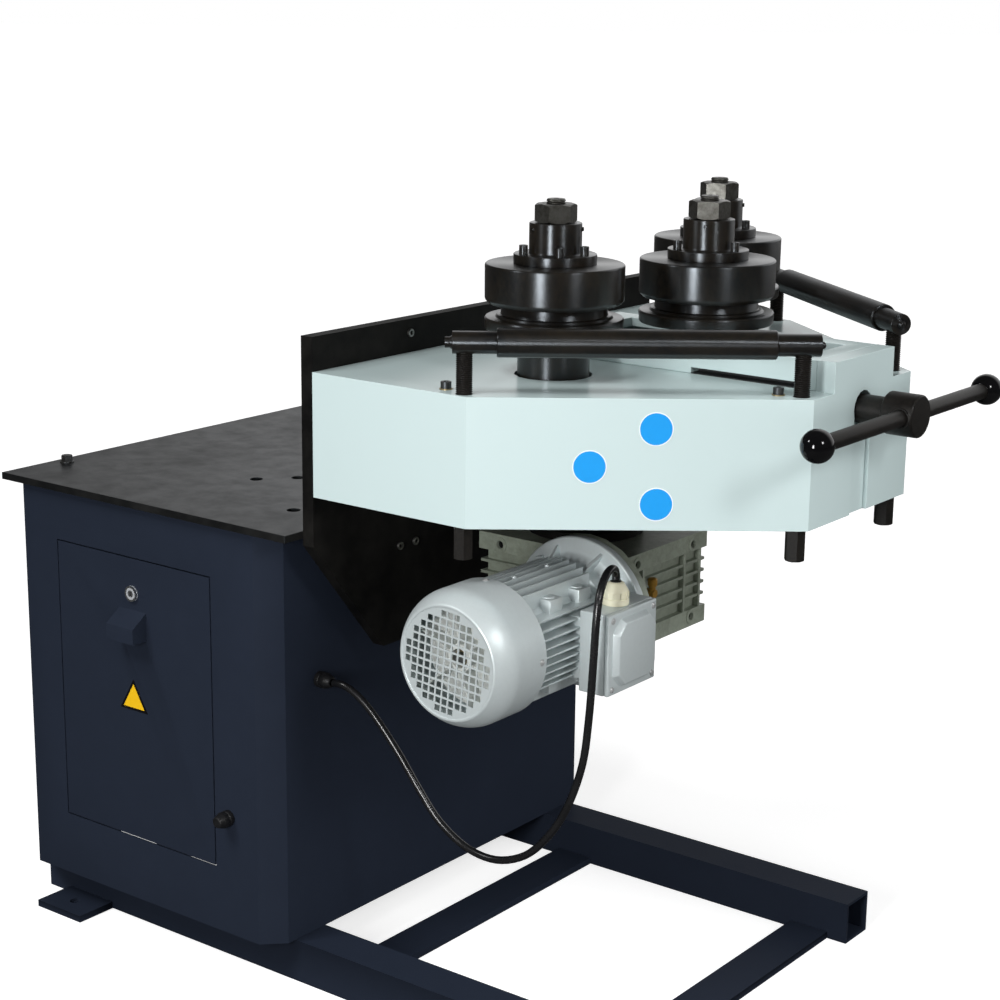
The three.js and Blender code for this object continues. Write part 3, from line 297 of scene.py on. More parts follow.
# How strongly a finish mirrors, where that isn't the usual half, and the hue of its sheen
SHEENS = {
    "head_paint": (0.45,),
    "cabinet_paint": (0.06,),
    "blackened_plate": (0.08,),
    "oiled_plate": (0.4, (0.72, 0.86, 1)),
    "dull_black_steel": (0.85, STEEL_BLUE),
    "worn_black_steel": (0.35,),
    "gloss_black_plastic": (0.4,),
    "black_plastic": (0.35,),
    "cable_sheath": (0.6,),
    "blue_film": (0.3,),
    "white_film": (0.3,),
    "yellow_film": (0.3,),
}
# Each finish: base colour, roughness, metal; then a second colour, or how much lighter or darker it is, its
# broad and its fine share, the scales of both and the roughness it adds; then the grain's scale, strength
# and depth in millimetres
FINISH_TABLE = (
    ("head_paint", "head", 0.24, 0, (0.96, 0.3, 0.1, 3, 30, 0.03), (500, 0.08, 0.2)),
    ("cabinet_paint", "cabinet", 0.6, 0, (1.2, 0.4, 0.3, 3.5, 30, 0.12), (1400, 0.35, 0.2)),
    # The black plate finish is also painted shade on the cast aluminium gearbox carrier
    ("blackened_plate", "plate", 0.5, 0, ((34, 33, 31), 0.3, 0.5, 7, 28, 0.2), (500, 0.4, 0.3)),
    ("oiled_plate", "plate", 0.34, 0, ((36, 35, 33), 0.3, 0.5, 7, 28, 0.2), (500, 0.3, 0.2)),
    ("dull_black_steel", "bars", 0.42, 0, ((52, 50, 46), 0.2, 0.6, 14, 260, 0.14), (900, 0.4, 0.3)),
    ("worn_black_steel", (10, 9, 8), 0.42, 0, ((38, 34, 30), 0.2, 0.55, 14, 240, 0.12), (900, 0.4, 0.3)),
    ("machined_steel", (150, 149, 146), 0.32, 1, ((96, 95, 92), 0.4, 0.3, 20, 120, 0.15), (1500, 0.15, 0.1)),
    ("dark_steel", (96, 96, 92), 0.3, 0.75, ((46, 42, 36), 0.5, 0.6, 40, 150, 0.2), (1300, 0.3, 0.2)),
    ("motor_paint", "motor", 0.38, 0.4, (0.88, 0.3, 0.3, 12, 150, 0.12), (1300, 0.3, 0.2)),
    ("cast_aluminium", "gearbox", 0.3, 0.2, ((112, 118, 104), 0.5, 0.45, 14, 110, 0.15), (900, 0.5, 0.4)),
    ("cream_plastic", "gland", 0.45, 0, ((214, 204, 168), 0.4, 0.2, 40, 200, 0.1), (1600, 0.1, 0.1)),
    ("gloss_black_plastic", (6, 6, 7), 0.08, 0, ((11, 11, 12), 0.4, 0.2, 20, 200, 0.03), ()),
    ("black_plastic", (18, 18, 19), 0.4, 0, ((30, 30, 32), 0.4, 0.3, 30, 200, 0.15), (1800, 0.2, 0.1)),
    ("cable_sheath", (16, 16, 17), 0.24, 0, ((28, 28, 30), 0.4, 0.3, 25, 250, 0.1), (2000, 0.15, 0.1)),
    ("brass", (190, 146, 62), 0.3, 0.5, ((120, 86, 36), 0.4, 0.4, 60, 300, 0.2), (1500, 0.2, 0.1)),
    ("yellow_zinc", (176, 158, 118), 0.35, 0.8, ((120, 104, 76), 0.4, 0.4, 60, 300, 0.2), ()),
    ("bronze", (176, 132, 74), 0.35, 1, ((120, 86, 46), 0.4, 0.3, 20, 120, 0.2), (1200, 0.2, 0.1)),
    ("bright_zinc", (196, 198, 198), 0.25, 0.5, ((138, 140, 140), 0.4, 0.4, 60, 300, 0.2), (2000, 0.15, 0.1)),
    ("chrome", (214, 218, 222), 0.15, 0.45, ((180, 182, 184), 0.3, 0.2, 60, 300, 0.1), ()),
    ("blue_film", "sticker", 0.4, 0, (0.9, 0.3, 0.2, 30, 200, 0.05), (2500, 0.05, 0.05)),
    ("white_film", (226, 234, 238), 0.4, 0, ((214, 222, 226), 0.3, 0.2, 30, 200, 0.05), (2500, 0.05, 0.05)),
    ("yellow_film", "sign", 0.4, 0, (0.85, 0.3, 0.2, 30, 200, 0.05), (2500, 0.05, 0.05)),
    ("fan_plastic", (232, 235, 232), 0.5, 0, ((206, 210, 204), 0.3, 0.2, 30, 200, 0.05), (1500, 0.1, 0.1)),
    ("switchgear_grey", (120, 124, 126), 0.5, 0, ((98, 100, 102), 0.4, 0.3, 20, 120, 0.1), (1500, 0.1, 0.1)),
)


class RINGROLLER_OT_finishes(bpy.types.Operator):
    """Make the node groups and the materials"""

    bl_idname = "ring_roller.finishes"
    bl_label = "Finishes"

    def execute(self, context):
        make_smudges()
        make_grain()
        make_turning()
        colours = context.scene.ring_roller_colours
        for name, base, roughness, metallic, (second, *spread), grain in FINISH_TABLE:
            base = getattr(colours, base) if isinstance(base, str) else srgb(*base)
            second = srgb(*second) if isinstance(second, tuple) else [min(1, v * second) for v in base]
            made = Finish(name, base, roughness, metallic).patches(second, *spread)
            if name in SHEENS:
                made.shine(*SHEENS[name])
            if grain:
                scale, strength, depth = grain
                made.grain(scale, strength, depth * MM)
        return {"FINISHED"}


def turned_black(name, centre, axis=(0, 0, 1)):
    """Black oxide on turned steel, with rings round the given axis in millimetres."""
    centre = Vector(centre) * MM
    made = Finish(name, bpy.context.scene.ring_roller_colours.rollers, 0.3).shine(0.9, STEEL_BLUE)
    made.patches(srgb(38, 31, 21), 0.35, 0.4, 18, 170, 0.08)
    return made.rings(centre, axis, 1600, 0.3, 0.0001).brush(centre, axis, 0.85).material


# Mesh tools: every shape is a bmesh in millimetres

# How deep a small part sits in the surface it is fixed to
SUNK = 0.2


def lathe(profile, steps):
    """Spins a profile of radius and height about Z. It is closed on the axis or back to its first point."""
    bm = bmesh.new()
    points = [bm.verts.new((r, 0, z)) for r, z in profile]
    edges = [bm.edges.new(pair) for pair in zip(points, points[1:])]
    if profile[0][0] > 0 or profile[-1][0] > 0:
        edges.append(bm.edges.new((points[-1], points[0])))
    bmesh.ops.spin(
        bm, geom=points + edges, cent=(0, 0, 0), axis=(0, 0, 1), angle=math.tau, steps=steps, use_merge=True
    )
    bmesh.ops.remove_doubles(bm, verts=bm.verts[:], dist=0.002)
    bmesh.ops.recalc_face_normals(bm, faces=bm.faces[:])
    return bm


def rounded(points, steps=3):
    """A profile whose corners are rounded by each point's third value."""
    made = []
    spots = [Vector(point[:2]) for point in points]
    for i, (here, point) in enumerate(zip(spots, points)):
        radius = point[2]
        if radius <= 0:
            made.append(tuple(here))
            continue
        before = spots[i - 1] - here
        after = spots[(i + 1) % len(spots)] - here
        reach = min(radius, before.length * 0.45, after.length * 0.45)
        start = here + before.normalized() * reach
        end = here + after.normalized() * reach
        for k in range(steps + 1):
            t = k / steps
            spot = start * (1 - t) ** 2 + here * 2 * t * (1 - t) + end * t * t
            made.append((spot.x, spot.y))
    return made


def spun(points, sides, steps=3):
    """Spins a profile with rounded corners."""
    return lathe(rounded(points, steps), sides)


def both_ends(half, total=0):
    """A profile that ends as it begins: each height and the one that mirrors it add up to a total."""
    return [*half, *((radius, total - height, corner) for radius, height, corner in reversed(half))]


def threaded(radius, start, end, pitch, depth):
    """The profile points of a thread's ridges along a rod."""
    count = max(1, round((end - start) / pitch))
    step = (end - start) / count
    made = []
    for i in range(count):
        foot = start + i * step
        made += [
            (radius - depth, foot + step * 0.1), (radius, foot + step * 0.45), (radius, foot + step * 0.6)
        ]
    return made


def block(lower, upper, edge=0.0, segments=2):
    """A box between two corners with eased edges."""
    bm = bmesh.new()
    lower, upper = Vector(lower), Vector(upper)
    size = upper - lower
    matrix = Matrix.Translation((lower + upper) / 2) @ Matrix.Diagonal((*size, 1))
    bmesh.ops.create_cube(bm, size=1, matrix=matrix)
    return ease(bm, edge, segments)


def verts_of(geometry):
    return [v for v in geometry if isinstance(v, bmesh.types.BMVert)]


def slab(outline, start, end):
    """A prism along Z from an outline."""
    bm = bmesh.new()
    face = bm.faces.new([bm.verts.new((x, y, start)) for x, y in outline])
    grown = bmesh.ops.extrude_face_region(bm, geom=[face])["geom"]
    bmesh.ops.translate(bm, verts=verts_of(grown), vec=(0, 0, end - start))
    bmesh.ops.recalc_face_normals(bm, faces=bm.faces[:])
    return bm


def ease(bm, width, segments=2, angle=32):
    """Bevels every edge that is sharper than an angle."""
    if width <= 0:
        return bm
    limit = math.radians(angle)
    sharp = [e for e in bm.edges if e.is_manifold and e.calc_face_angle(0) > limit]
    bmesh.ops.bevel(
        bm, geom=sharp, offset=width, offset_type="OFFSET", segments=segments, profile=0.5, affect="EDGES",
        clamp_overlap=True, material=-1,
    )
    return bm


def hexagon(across, start, end, crown=True):
    """A hexagon nut or head whose corners are cut by a cone at its upper end, or at both ends."""
    sides, slope, flat = 36, 0.55, 0.475
    bm = bmesh.new()
    ring = bmesh.ops.create_circle(bm, segments=sides, radius=across / 2)["verts"]
    for v in ring:
        angle = math.atan2(v.co.y, v.co.x) % (math.pi / 3) - math.pi / 6
        v.co.xy = v.co.xy / math.cos(angle)
    face = bm.faces.new(ring)
    grown = bmesh.ops.extrude_face_region(bm, geom=[face])["geom"]
    bmesh.ops.translate(bm, verts=verts_of(grown), vec=(0, 0, end - start))
    top = next(f for f in grown if isinstance(f, bmesh.types.BMFace))
    bmesh.ops.recalc_face_normals(bm, faces=bm.faces[:])
    caps = [(top, -1)]
    if crown:
        caps += [(f, 1) for f in bm.faces if len(f.verts) == sides and f is not top]
    for cap, sign in caps:
        for v in cap.verts:
            v.co.z += sign * (v.co.xy.length - across / 2) * slope
        for v in verts_of(bmesh.ops.extrude_face_region(bm, geom=[cap])["geom"]):
            v.co.xy = v.co.xy.normalized() * across * flat
            v.co.z = end - start if sign < 0 else 0
        if cap.is_valid:
            bmesh.ops.delete(bm, geom=[cap], context="FACES_ONLY")
    bmesh.ops.translate(bm, verts=bm.verts[:], vec=(0, 0, start))
    bmesh.ops.recalc_face_normals(bm, faces=bm.faces[:])
    return bm


def merge(parts):
    """Several shapes in one bmesh."""
    whole = bmesh.new()
    for part in parts:
        mesh = bpy.data.meshes.new("part")
        part.to_mesh(mesh)
        part.free()
        whole.from_mesh(mesh)
        bpy.data.meshes.remove(mesh)
    return whole


def place(bm, *matrices):
    """Moves a shape by matrices, the first one first."""
    for matrix in matrices:
        bmesh.ops.transform(bm, matrix=matrix, verts=bm.verts[:])
    return bm


def move(x, y, z):
    return Matrix.Translation((x, y, z))


def turn(angle, axis):
    return Matrix.Rotation(math.radians(angle), 4, axis)


# From +Z towards the machine's right, its back and its front
TO_X = turn(90, "Y")
TO_Y = turn(-90, "X")
TO_FRONT = turn(90, "X")


def copy_of(node):
    """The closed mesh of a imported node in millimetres, with its flat faces whole."""
    bm = bmesh.new()
    bm.from_mesh(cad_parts[node].data)
    bmesh.ops.scale(bm, vec=(1 / MM,) * 3, verts=bm.verts[:])
    bmesh.ops.remove_doubles(bm, verts=bm.verts[:], dist=0.01)
    bmesh.ops.dissolve_limit(bm, angle_limit=math.radians(1), verts=bm.verts[:], edges=bm.edges[:])
    return bm


def finish(parts, name, material, body="frame", replaces=(), smooth=32):
    """Makes the piece: one object in metres at the origin, riding on its body."""
    if isinstance(parts, bmesh.types.BMesh):
        parts = [parts]
    bm = merge(parts)
    bmesh.ops.scale(bm, vec=(MM,) * 3, verts=bm.verts[:])
    mesh = bpy.data.meshes.new(name)
    bm.to_mesh(mesh)
    bm.free()
    if isinstance(material, str):
        material = FINISHES[material]
    mesh.materials.append(material)
    mesh.shade_smooth()
    mesh.set_sharp_from_angle(angle=math.radians(smooth))
    piece = bpy.data.objects.new(name, mesh)
    bpy.context.scene.collection.objects.link(piece)
    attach(piece, body)
    if replaces:
        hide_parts(*replaces)
    return piece


def dress(node, name, material, slot, width, segments=2, body="frame", smooth=20):
    """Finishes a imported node's own shape with eased edges, as the piece that stands for it."""
    finish(ease(copy_of(node), width, segments), name, material, body, [node], smooth)


def cap_screw(radius, height):
    """A round screw head with a socket."""
    bottom, wall = height - radius * 0.6, radius * 0.5
    profile = [
        (0, bottom, 0), (wall, bottom, 0), (wall, height, 0.2), (radius, height, 0.5), (radius, 0, 0),
        (0, 0, 0),
    ]
    return spun(profile, 20, 2)


def hex_bolt(across, height, washer):
    """A hexagon bolt head on its washer."""
    thick = 1.6
    disc = spun([(0, 0, 0), (washer, 0, 0.2), (washer, thick, 0.3), (0, thick, 0)], 28, 2)
    return merge([disc, hexagon(across, thick, height, crown=False)])


def dome_screw(radius, height):
    """A low domed screw head with a cross recess."""
    head = lathe([
        (0, height), (radius * 0.5, height * 0.86), (radius * 0.85, height * 0.5), (radius, 0), (0, 0)
    ], 20)
    reach = radius * 0.55
    arms = [block((-reach, -0.35, height * 0.75), (reach, 0.35, height * 1.02)) for _ in range(2)]
    return merge([head, arms[0], place(arms[1], turn(90, "Z"))])


# The stage: camera, lamps, floor and the white beyond it

# Where the camera stands, in metres, and its yaw, pitch and roll in degrees
CAMERA_PLACE = (1.7531, -2.2855, 1.3344)
CAMERA_TURN = (37.35, 14.085, 0.67)
# The direction of the bright wall that mirroring surfaces see, and the point the lamps aim at
WALL_SIDE = (-0.09, 0.99, 0.1)
LIT_POINT = Vector((0.15, -0.1, 0.75))
# Each lamp's name, kind, turn round the machine and height in degrees, distance in metres, power and size
LAMPS = (
    ("tall_softbox", "AREA", -76, 7, 2.4, 32, (0.34, 0.7)),
    ("side_softbox", "AREA", -20, 28, 2.6, 13, (0.34, 0.44)),
    ("rear_softbox", "AREA", -121, 35, 2.6, 10, (0.26, 0.36)),
    ("side_fill", "AREA", 8, 12, 3.0, 38, (2.0, 2.4)),
    ("overhead", "SUN", -105, 58, 3.0, 1.4, None),
)


class RINGROLLER_OT_stage(bpy.types.Operator):
    """Set the camera, the lamps, the floor and the white background"""

    bl_idname = "ring_roller.stage"
    bl_label = "Stage"

    def execute(self, context):
        scene = context.scene
        scene.view_settings.view_transform = "Standard"
        self.camera(scene)
        self.floor(scene)
        self.world(scene)
        self.lamps(scene)
        return {"FINISHED"}

    def camera(self, scene):
        """The camera at the photo's viewing angle."""
        camera = bpy.data.objects.new("camera", bpy.data.cameras.new("camera"))
        scene.collection.objects.link(camera)
        camera.data.lens, camera.data.sensor_width = 76.1, 36
        camera.data.shift_x, camera.data.shift_y = -0.0007, 0.0019
        camera.data.clip_end = 50
        yaw, pitch, roll = CAMERA_TURN
        camera.matrix_world = move(*CAMERA_PLACE) @ turn(yaw, "Z") @ turn(90 - pitch, "X") @ turn(roll, "Z")
        scene.camera = camera

    def floor(self, scene):
        """A pale floor that looks lighter to the camera and darker in mirroring surfaces."""
        floor = bmesh.new()
        bmesh.ops.create_grid(floor, x_segments=1, y_segments=1, size=60)
        bmesh.ops.translate(floor, verts=floor.verts[:], vec=(0, 0, -0.0005))
        mesh = bpy.data.meshes.new("floor")
        floor.to_mesh(mesh)
        floor.free()
        pale = bpy.data.materials.new("pale_floor")
        pale.use_nodes = True
        tree = pale.node_tree
        shader = tree.nodes["Principled BSDF"]
        path = tree.nodes.new("ShaderNodeLightPath").outputs
        glow = remap(tree, path["Is Camera Ray"], 0, 1, 0, 0.7)
        grey = remap(tree, path["Is Camera Ray"], 0, 1, 0.25, 0.65)
        grey = math_node(tree, "MULTIPLY", grey, remap(tree, path["Is Glossy Ray"], 0, 1, 1, 0.35))
        names = ("Roughness", "Specular IOR Level", "Emission Color", "Emission Strength", "Base Color")
        feed(tree, [shader.inputs[name] for name in names], (1, 0, (1, 1, 1, 1), glow, grey))
        mesh.materials.append(pale)
        plane = bpy.data.objects.new("floor", mesh)
        scene.collection.objects.link(plane)

    def world(self, scene):
        """White beyond the floor; mirroring surfaces see a bright wall ahead, the rest a weak fill."""
        world = bpy.data.worlds.new("studio")
        scene.world = world
        world.use_nodes = True
        tree = world.node_tree
        back = tree.nodes["Background"]
        path = tree.nodes.new("ShaderNodeLightPath").outputs
        ray = tree.nodes.new("ShaderNodeTexCoord").outputs["Generated"]
        backdrop = vector_node(tree, "DOT_PRODUCT", ray, WALL_SIDE, result="Value")
        wall = remap(tree, backdrop, 0.6, 0.84, 0.06, 1)
        mirrored = math_node(tree, "MULTIPLY", wall, path["Is Glossy Ray"])
        seen = math_node(tree, "MAXIMUM", mirrored, path["Is Camera Ray"])
        fill = remap(tree, path["Is Glossy Ray"], 0, 1, 0.2, 0.06)
        strength = math_node(tree, "MAXIMUM", seen, fill)
        feed(tree, (back.inputs["Color"], back.inputs["Strength"]), ((1, 1, 1, 1), strength))

    def lamps(self, scene):
        """The lamps, each aimed at the middle of the machine."""
        for name, kind, azimuth, height, away, energy, size in LAMPS:
            light = bpy.data.lights.new(name, kind)
            light.energy = energy
            if size:
                light.shape = "RECTANGLE"
                light.size, light.size_y = size
            else:
                light.angle = math.radians(25)
            lamp = bpy.data.objects.new(name, light)
            lamp.visible_glossy = name.endswith("softbox")
            towards = turn(azimuth, "Z") @ turn(-height, "Y") @ Vector((1, 0, 0))
            lamp.location = LIT_POINT + towards * away
            lamp.rotation_euler = towards.to_track_quat("Z", "Y").to_euler()
            scene.collection.objects.link(lamp)


# The motor cable: listed points from the motor's gland to the gland in the cabinet's wall

CABLE_ROUTE = (
    (0.345, -0.204, 0.6076), (0.345, -0.204, 0.6140), (0.347, -0.209, 0.6210), (0.352, -0.223, 0.6270),
    (0.358, -0.242, 0.6270), (0.364, -0.261, 0.6180), (0.368, -0.274, 0.6010), (0.370, -0.281, 0.575),
    (0.368, -0.282, 0.526), (0.363, -0.282, 0.450), (0.355, -0.282, 0.390), (0.335, -0.284, 0.330),
    (0.310, -0.286, 0.287), (0.274, -0.288, 0.250), (0.230, -0.291, 0.233), (0.186, -0.294, 0.238),
    (0.142, -0.297, 0.264), (0.108, -0.299, 0.302), (0.078, -0.301, 0.341), (0.038, -0.304, 0.386),
    (0.012, -0.306, 0.408), (-0.012, -0.308, 0.419), (-0.0307, -0.308, 0.419),
)


def smooth_route(points, between=5):
    """Points of a centripetal spline through the given ones."""
    points = [Vector(p) for p in points]
    padded = [2 * points[0] - points[1], *points, 2 * points[-1] - points[-2]]
    made = []
    for a, b, c, d in zip(padded, padded[1:], padded[2:], padded[3:]):
        t = [0.0]
        for first, second in ((a, b), (b, c), (c, d)):
            t.append(t[-1] + (second - first).length ** 0.5)
        for k in range(between):
            u = t[1] + (t[2] - t[1]) * k / between
            near = [
                (p * (t[i + 1] - u) + q * (u - t[i])) / (t[i + 1] - t[i])
                for i, (p, q) in enumerate(((a, b), (b, c), (c, d)))
            ]
            wide = [
                (p * (t[i + 2] - u) + q * (u - t[i])) / (t[i + 2] - t[i])
                for i, (p, q) in enumerate(((near[0], near[1]), (near[1], near[2])))
            ]
            made.append((wide[0] * (t[2] - u) + wide[1] * (u - t[1])) / (t[2] - t[1]))
    return [*made, points[-1]]


class RINGROLLER_OT_cable(bpy.types.Operator):
    """Lay the motor cable along its route"""

    bl_idname = "ring_roller.cable"
    bl_label = "Motor cable"

    def execute(self, context):
        size = context.scene.ring_roller_sizes.cable
        route = smooth_route(CABLE_ROUTE)
        curve = bpy.data.curves.new("motor_cable_line", "CURVE")
        curve.dimensions = "3D"
        curve.bevel_depth = size / 2
        curve.bevel_resolution = 4
        curve.use_fill_caps = True
        spline = curve.splines.new("POLY")
        spline.points.add(len(route) - 1)
        for point, spot in zip(spline.points, route):
            point.co = (*spot, 1)
        spline.use_smooth = True
        cable = bpy.data.objects.new("motor_cable_line", curve)
        context.scene.collection.objects.link(cable)
        curve.materials.append(FINISHES["cable_sheath"])
        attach(cable, "frame")
        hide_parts("motor_cable")
        return {"FINISHED"}


# Stand: base, cabinet, worktop and upright plate


class RINGROLLER_OT_stand(bpy.types.Operator):
    """Dress the base, the cabinet, the worktop and the upright plate"""

    bl_idname = "ring_roller.stand"
    bl_label = "Stand"

    def execute(self, context):
        edge = size_of("edge")
        dress("base_frame", "floor_frame", "cabinet_paint", "cabinet_paint", 1.5)
        dress("cabinet_shell", "sheet_cabinet", "cabinet_paint", "cabinet_paint", edge)
        dress("worktop", "cabinet_worktop", "oiled_plate", "plate_steel", edge)
        dress("mounting_plate", "upright_plate", "blackened_plate", "plate_steel", edge)
        corner = low("worktop")
        bolt = place(hex_bolt(14, 10.5, 10), move(corner.x + 22, corner.y + 101, high("worktop").z))
        finish(bolt, "worktop_bolt", "dull_black_steel")
        # Two screws below the head's floor and one above its roof, on the plate's right face
        head_low, head_top = low("head_housing").z, low("guide_block").z
        face = high("mounting_plate").x
        screws = [(-209, head_low - 98), (-177, head_low - 98), (-188, head_top + 25.5)]
        heads = [place(cap_screw(5.5, 3.2), TO_X, move(face - SUNK, y, z)) for y, z in screws]
        finish(heads, "plate_screws", "machined_steel")
        return {"FINISHED"}


class RINGROLLER_OT_door(bpy.types.Operator):
    """Dress the cabinet's door, its lock, its sign and the switchgear behind it"""

    bl_idname = "ring_roller.door"
    bl_label = "Door"

    def execute(self, context):
        edge = size_of("edge")
        dress("cabinet_door", "door_panel", "cabinet_paint", "cabinet_paint", edge, body="door")
        radius = 11
        lock_x, lock_z = high("door_lock").x - radius, high("door_lock").z - radius
        dial = [
            (0, 2.6, 0), (4.6, 2.6, 0.3), (5, 3.4, 0.4), (8.4, 3.5, 1.2), (10.8, 1.6, 0.8), (radius, 0, 0),
            (0, 0, 0),
        ]
        key = block((-0.9, -3.6, 2.2), (0.9, 3.6, 2.9))
        front = low("cabinet_shell").y
        to_lock = (TO_FRONT, move(lock_x, front - SUNK, lock_z))
        finish(place(spun(dial, 40), *to_lock), "lock_face", "chrome", "lock")
        finish(place(key, *to_lock), "key_slot", "black_plastic", "lock")
        sign = slab([(-27, -22.5), (27, -22.5), (0, 22.5)], 0, 0.25)
        inner = slab([(-20.5, -18.8), (20.5, -18.8), (0, 15.6)], 0.25, 0.4)
        to_sign = (TO_FRONT, move(middle("cabinet_door").x - 3, front - 0.05, high("door_lock").z - 157))
        finish(place(sign, *to_sign), "door_sign_edge", "gloss_black_plastic", "door")
        finish(place(inner, *to_sign), "door_sign_face", "yellow_film", "door")
        dress("control_panel", "switchgear", "switchgear_grey", "cast_aluminium", 1.0)
        return {"FINISHED"}


def cable_gland(body_length, across, neck, bore):
    """A moulded gland: a round foot and a fluted dome nut, along +Z from its seat."""
    foot_top, nut_top = body_length * 0.3, body_length * 0.62
    foot = [(bore, 0, 0), (across * 0.5, 0, 0.6), (across * 0.5, body_length * 0.26, 1.2)]
    foot += [(across * 0.45, foot_top, 0.3), (bore, foot_top, 0)]
    nut = [(bore, foot_top, 0), (across * 0.47, foot_top, 0.4), (across * 0.47, nut_top, 1.2)]
    nut += [(neck, body_length * 0.96, 1.2), (bore, body_length, 0.3)]
    parts = [spun(foot, 48), spun(nut, 48)]
    for i in range(12):
        rib = block((across * 0.44, -0.9, body_length * 0.32), (across * 0.5, 0.9, body_length * 0.6), 0.3)
        parts.append(place(rib, turn(i * 30, "Z")))
    return merge(parts)


class RINGROLLER_OT_cabinet_glands(bpy.types.Operator):
    """Model the two glands of the cabinet"""

    bl_idname = "ring_roller.cabinet_glands"
    bl_label = "Cabinet glands"

    def execute(self, context):
        size = (24, 22, 7.5, 5.2)
        centre = middle("wall_gland")
        made = place(cable_gland(*size), TO_X, move(low("wall_gland").x, centre.y, centre.z))
        finish(made, "wall_cable_gland", "black_plastic", "frame", ["wall_gland"])
        centre = middle("front_gland")
        core = lathe([(0, 3), (5.2, 3), (5.2, 23), (0, 23)], 24)
        made = place(
            merge([cable_gland(*size), core]), TO_FRONT, move(centre.x, high("front_gland").y, centre.z)
        )
        finish(made, "front_cable_gland", "black_plastic", "frame", ["front_gland"])
        return {"FINISHED"}


# Head

# Where the bolts stand on the roof, on both sides of the middle, and where the stickers' centres are on the
# near slanted side, counted along it from its left corner and up from the head's floor
ROOF_BOLTS = ((194.5, 353.6), (516.7, 124.2))
STICKERS = ((224.5, 123.6), (146.6, 77.2), (226.7, 32.1))


class RINGROLLER_OT_head(bpy.types.Operator):
    """Dress the head box, its guide, its floor and the small bolts on its roof"""

    bl_idname = "ring_roller.head"
    bl_label = "Head"

    def execute(self, context):
        edge = size_of("edge")
        dress("head_housing", "head_box", "head_paint", "head_paint", edge)
        dress("guide_block", "carriage_guide", "head_paint", "head_paint", edge)
        dress("screw_block", "thrust_block", "head_paint", "head_paint", edge * 0.6)
        dress("head_bottom_plate", "head_floor", "dull_black_steel", "dull_steel", edge)
        dress("press_carriage", "roller_carriage", "dull_black_steel", "dull_steel", edge, body="carriage")
        roof = low("guide_block").z - 0.3
        spots = [move(x, side * y, roof) for x, y in ROOF_BOLTS for side in (-1, 1)]
        bolts = [place(cap_screw(6.6, 9.5), spot) for spot in spots]
        washers = [place(lathe([(0, 0), (8, 0), (8, 1.2), (0, 1.2)], 32), spot) for spot in spots]
        finish(bolts, "roof_bolts", "dull_black_steel")
        finish(washers, "roof_washers", "yellow_zinc")
        slot_from, slot_to = middle("press_spindle").x + 27.5, high("head_housing").x - 54.5
        low_face, high_face, half = roof + 0.35, roof + 1.2, 9
        liners = [block((slot_from, y - half, low_face), (slot_to, y + half, high_face)) for y in (-65, 65)]
        finish(liners, "slot_liners", "dull_black_steel")
        return {"FINISHED"}


class RINGROLLER_OT_stickers(bpy.types.Operator):
    """Put the three plain round stickers on the near side of the head"""

    bl_idname = "ring_roller.stickers"
    bl_label = "Stickers"

    def execute(self, context):
        head = low("head_housing")
        corner = Vector((244, head.y, head.z))
        # The slanted side runs this way, and faces that way
        along = Vector((0.7842, 0.6205, 0))
        outward = Vector((0.6205, -0.7842, 0))
        across = Matrix((along, Vector((0, 0, 1)), outward)).transposed().to_4x4()
        for name, film, radius, back, front in (
            ("sticker_rims", "white_film", 20.5, -SUNK, 0.3), ("sticker_discs", "blue_film", 19.2, 0, 0.4)
        ):
            discs = []
            for reach, lift in STICKERS:
                spot = Matrix.Translation(corner + along * reach + Vector((0, 0, lift)))
                disc = lathe([(0, back), (radius, back), (radius, front), (0, front)], 64)
                discs.append(place(disc, across, spot))
            finish(discs, name, film)
        return {"FINISHED"}


# Rollers

# Turns round each roller, in degrees, of the screws in its clamping disc, of the grub screws above and of
# its nut
ROLLER_TURNS = {
    "near": ((-122, -47, 4, 118), (29, -113), 47),
    "far": ((4, -116, 124), (29, -91), 20),
    "press": ((-6, -126, 114), (-66, 54), 27),
}


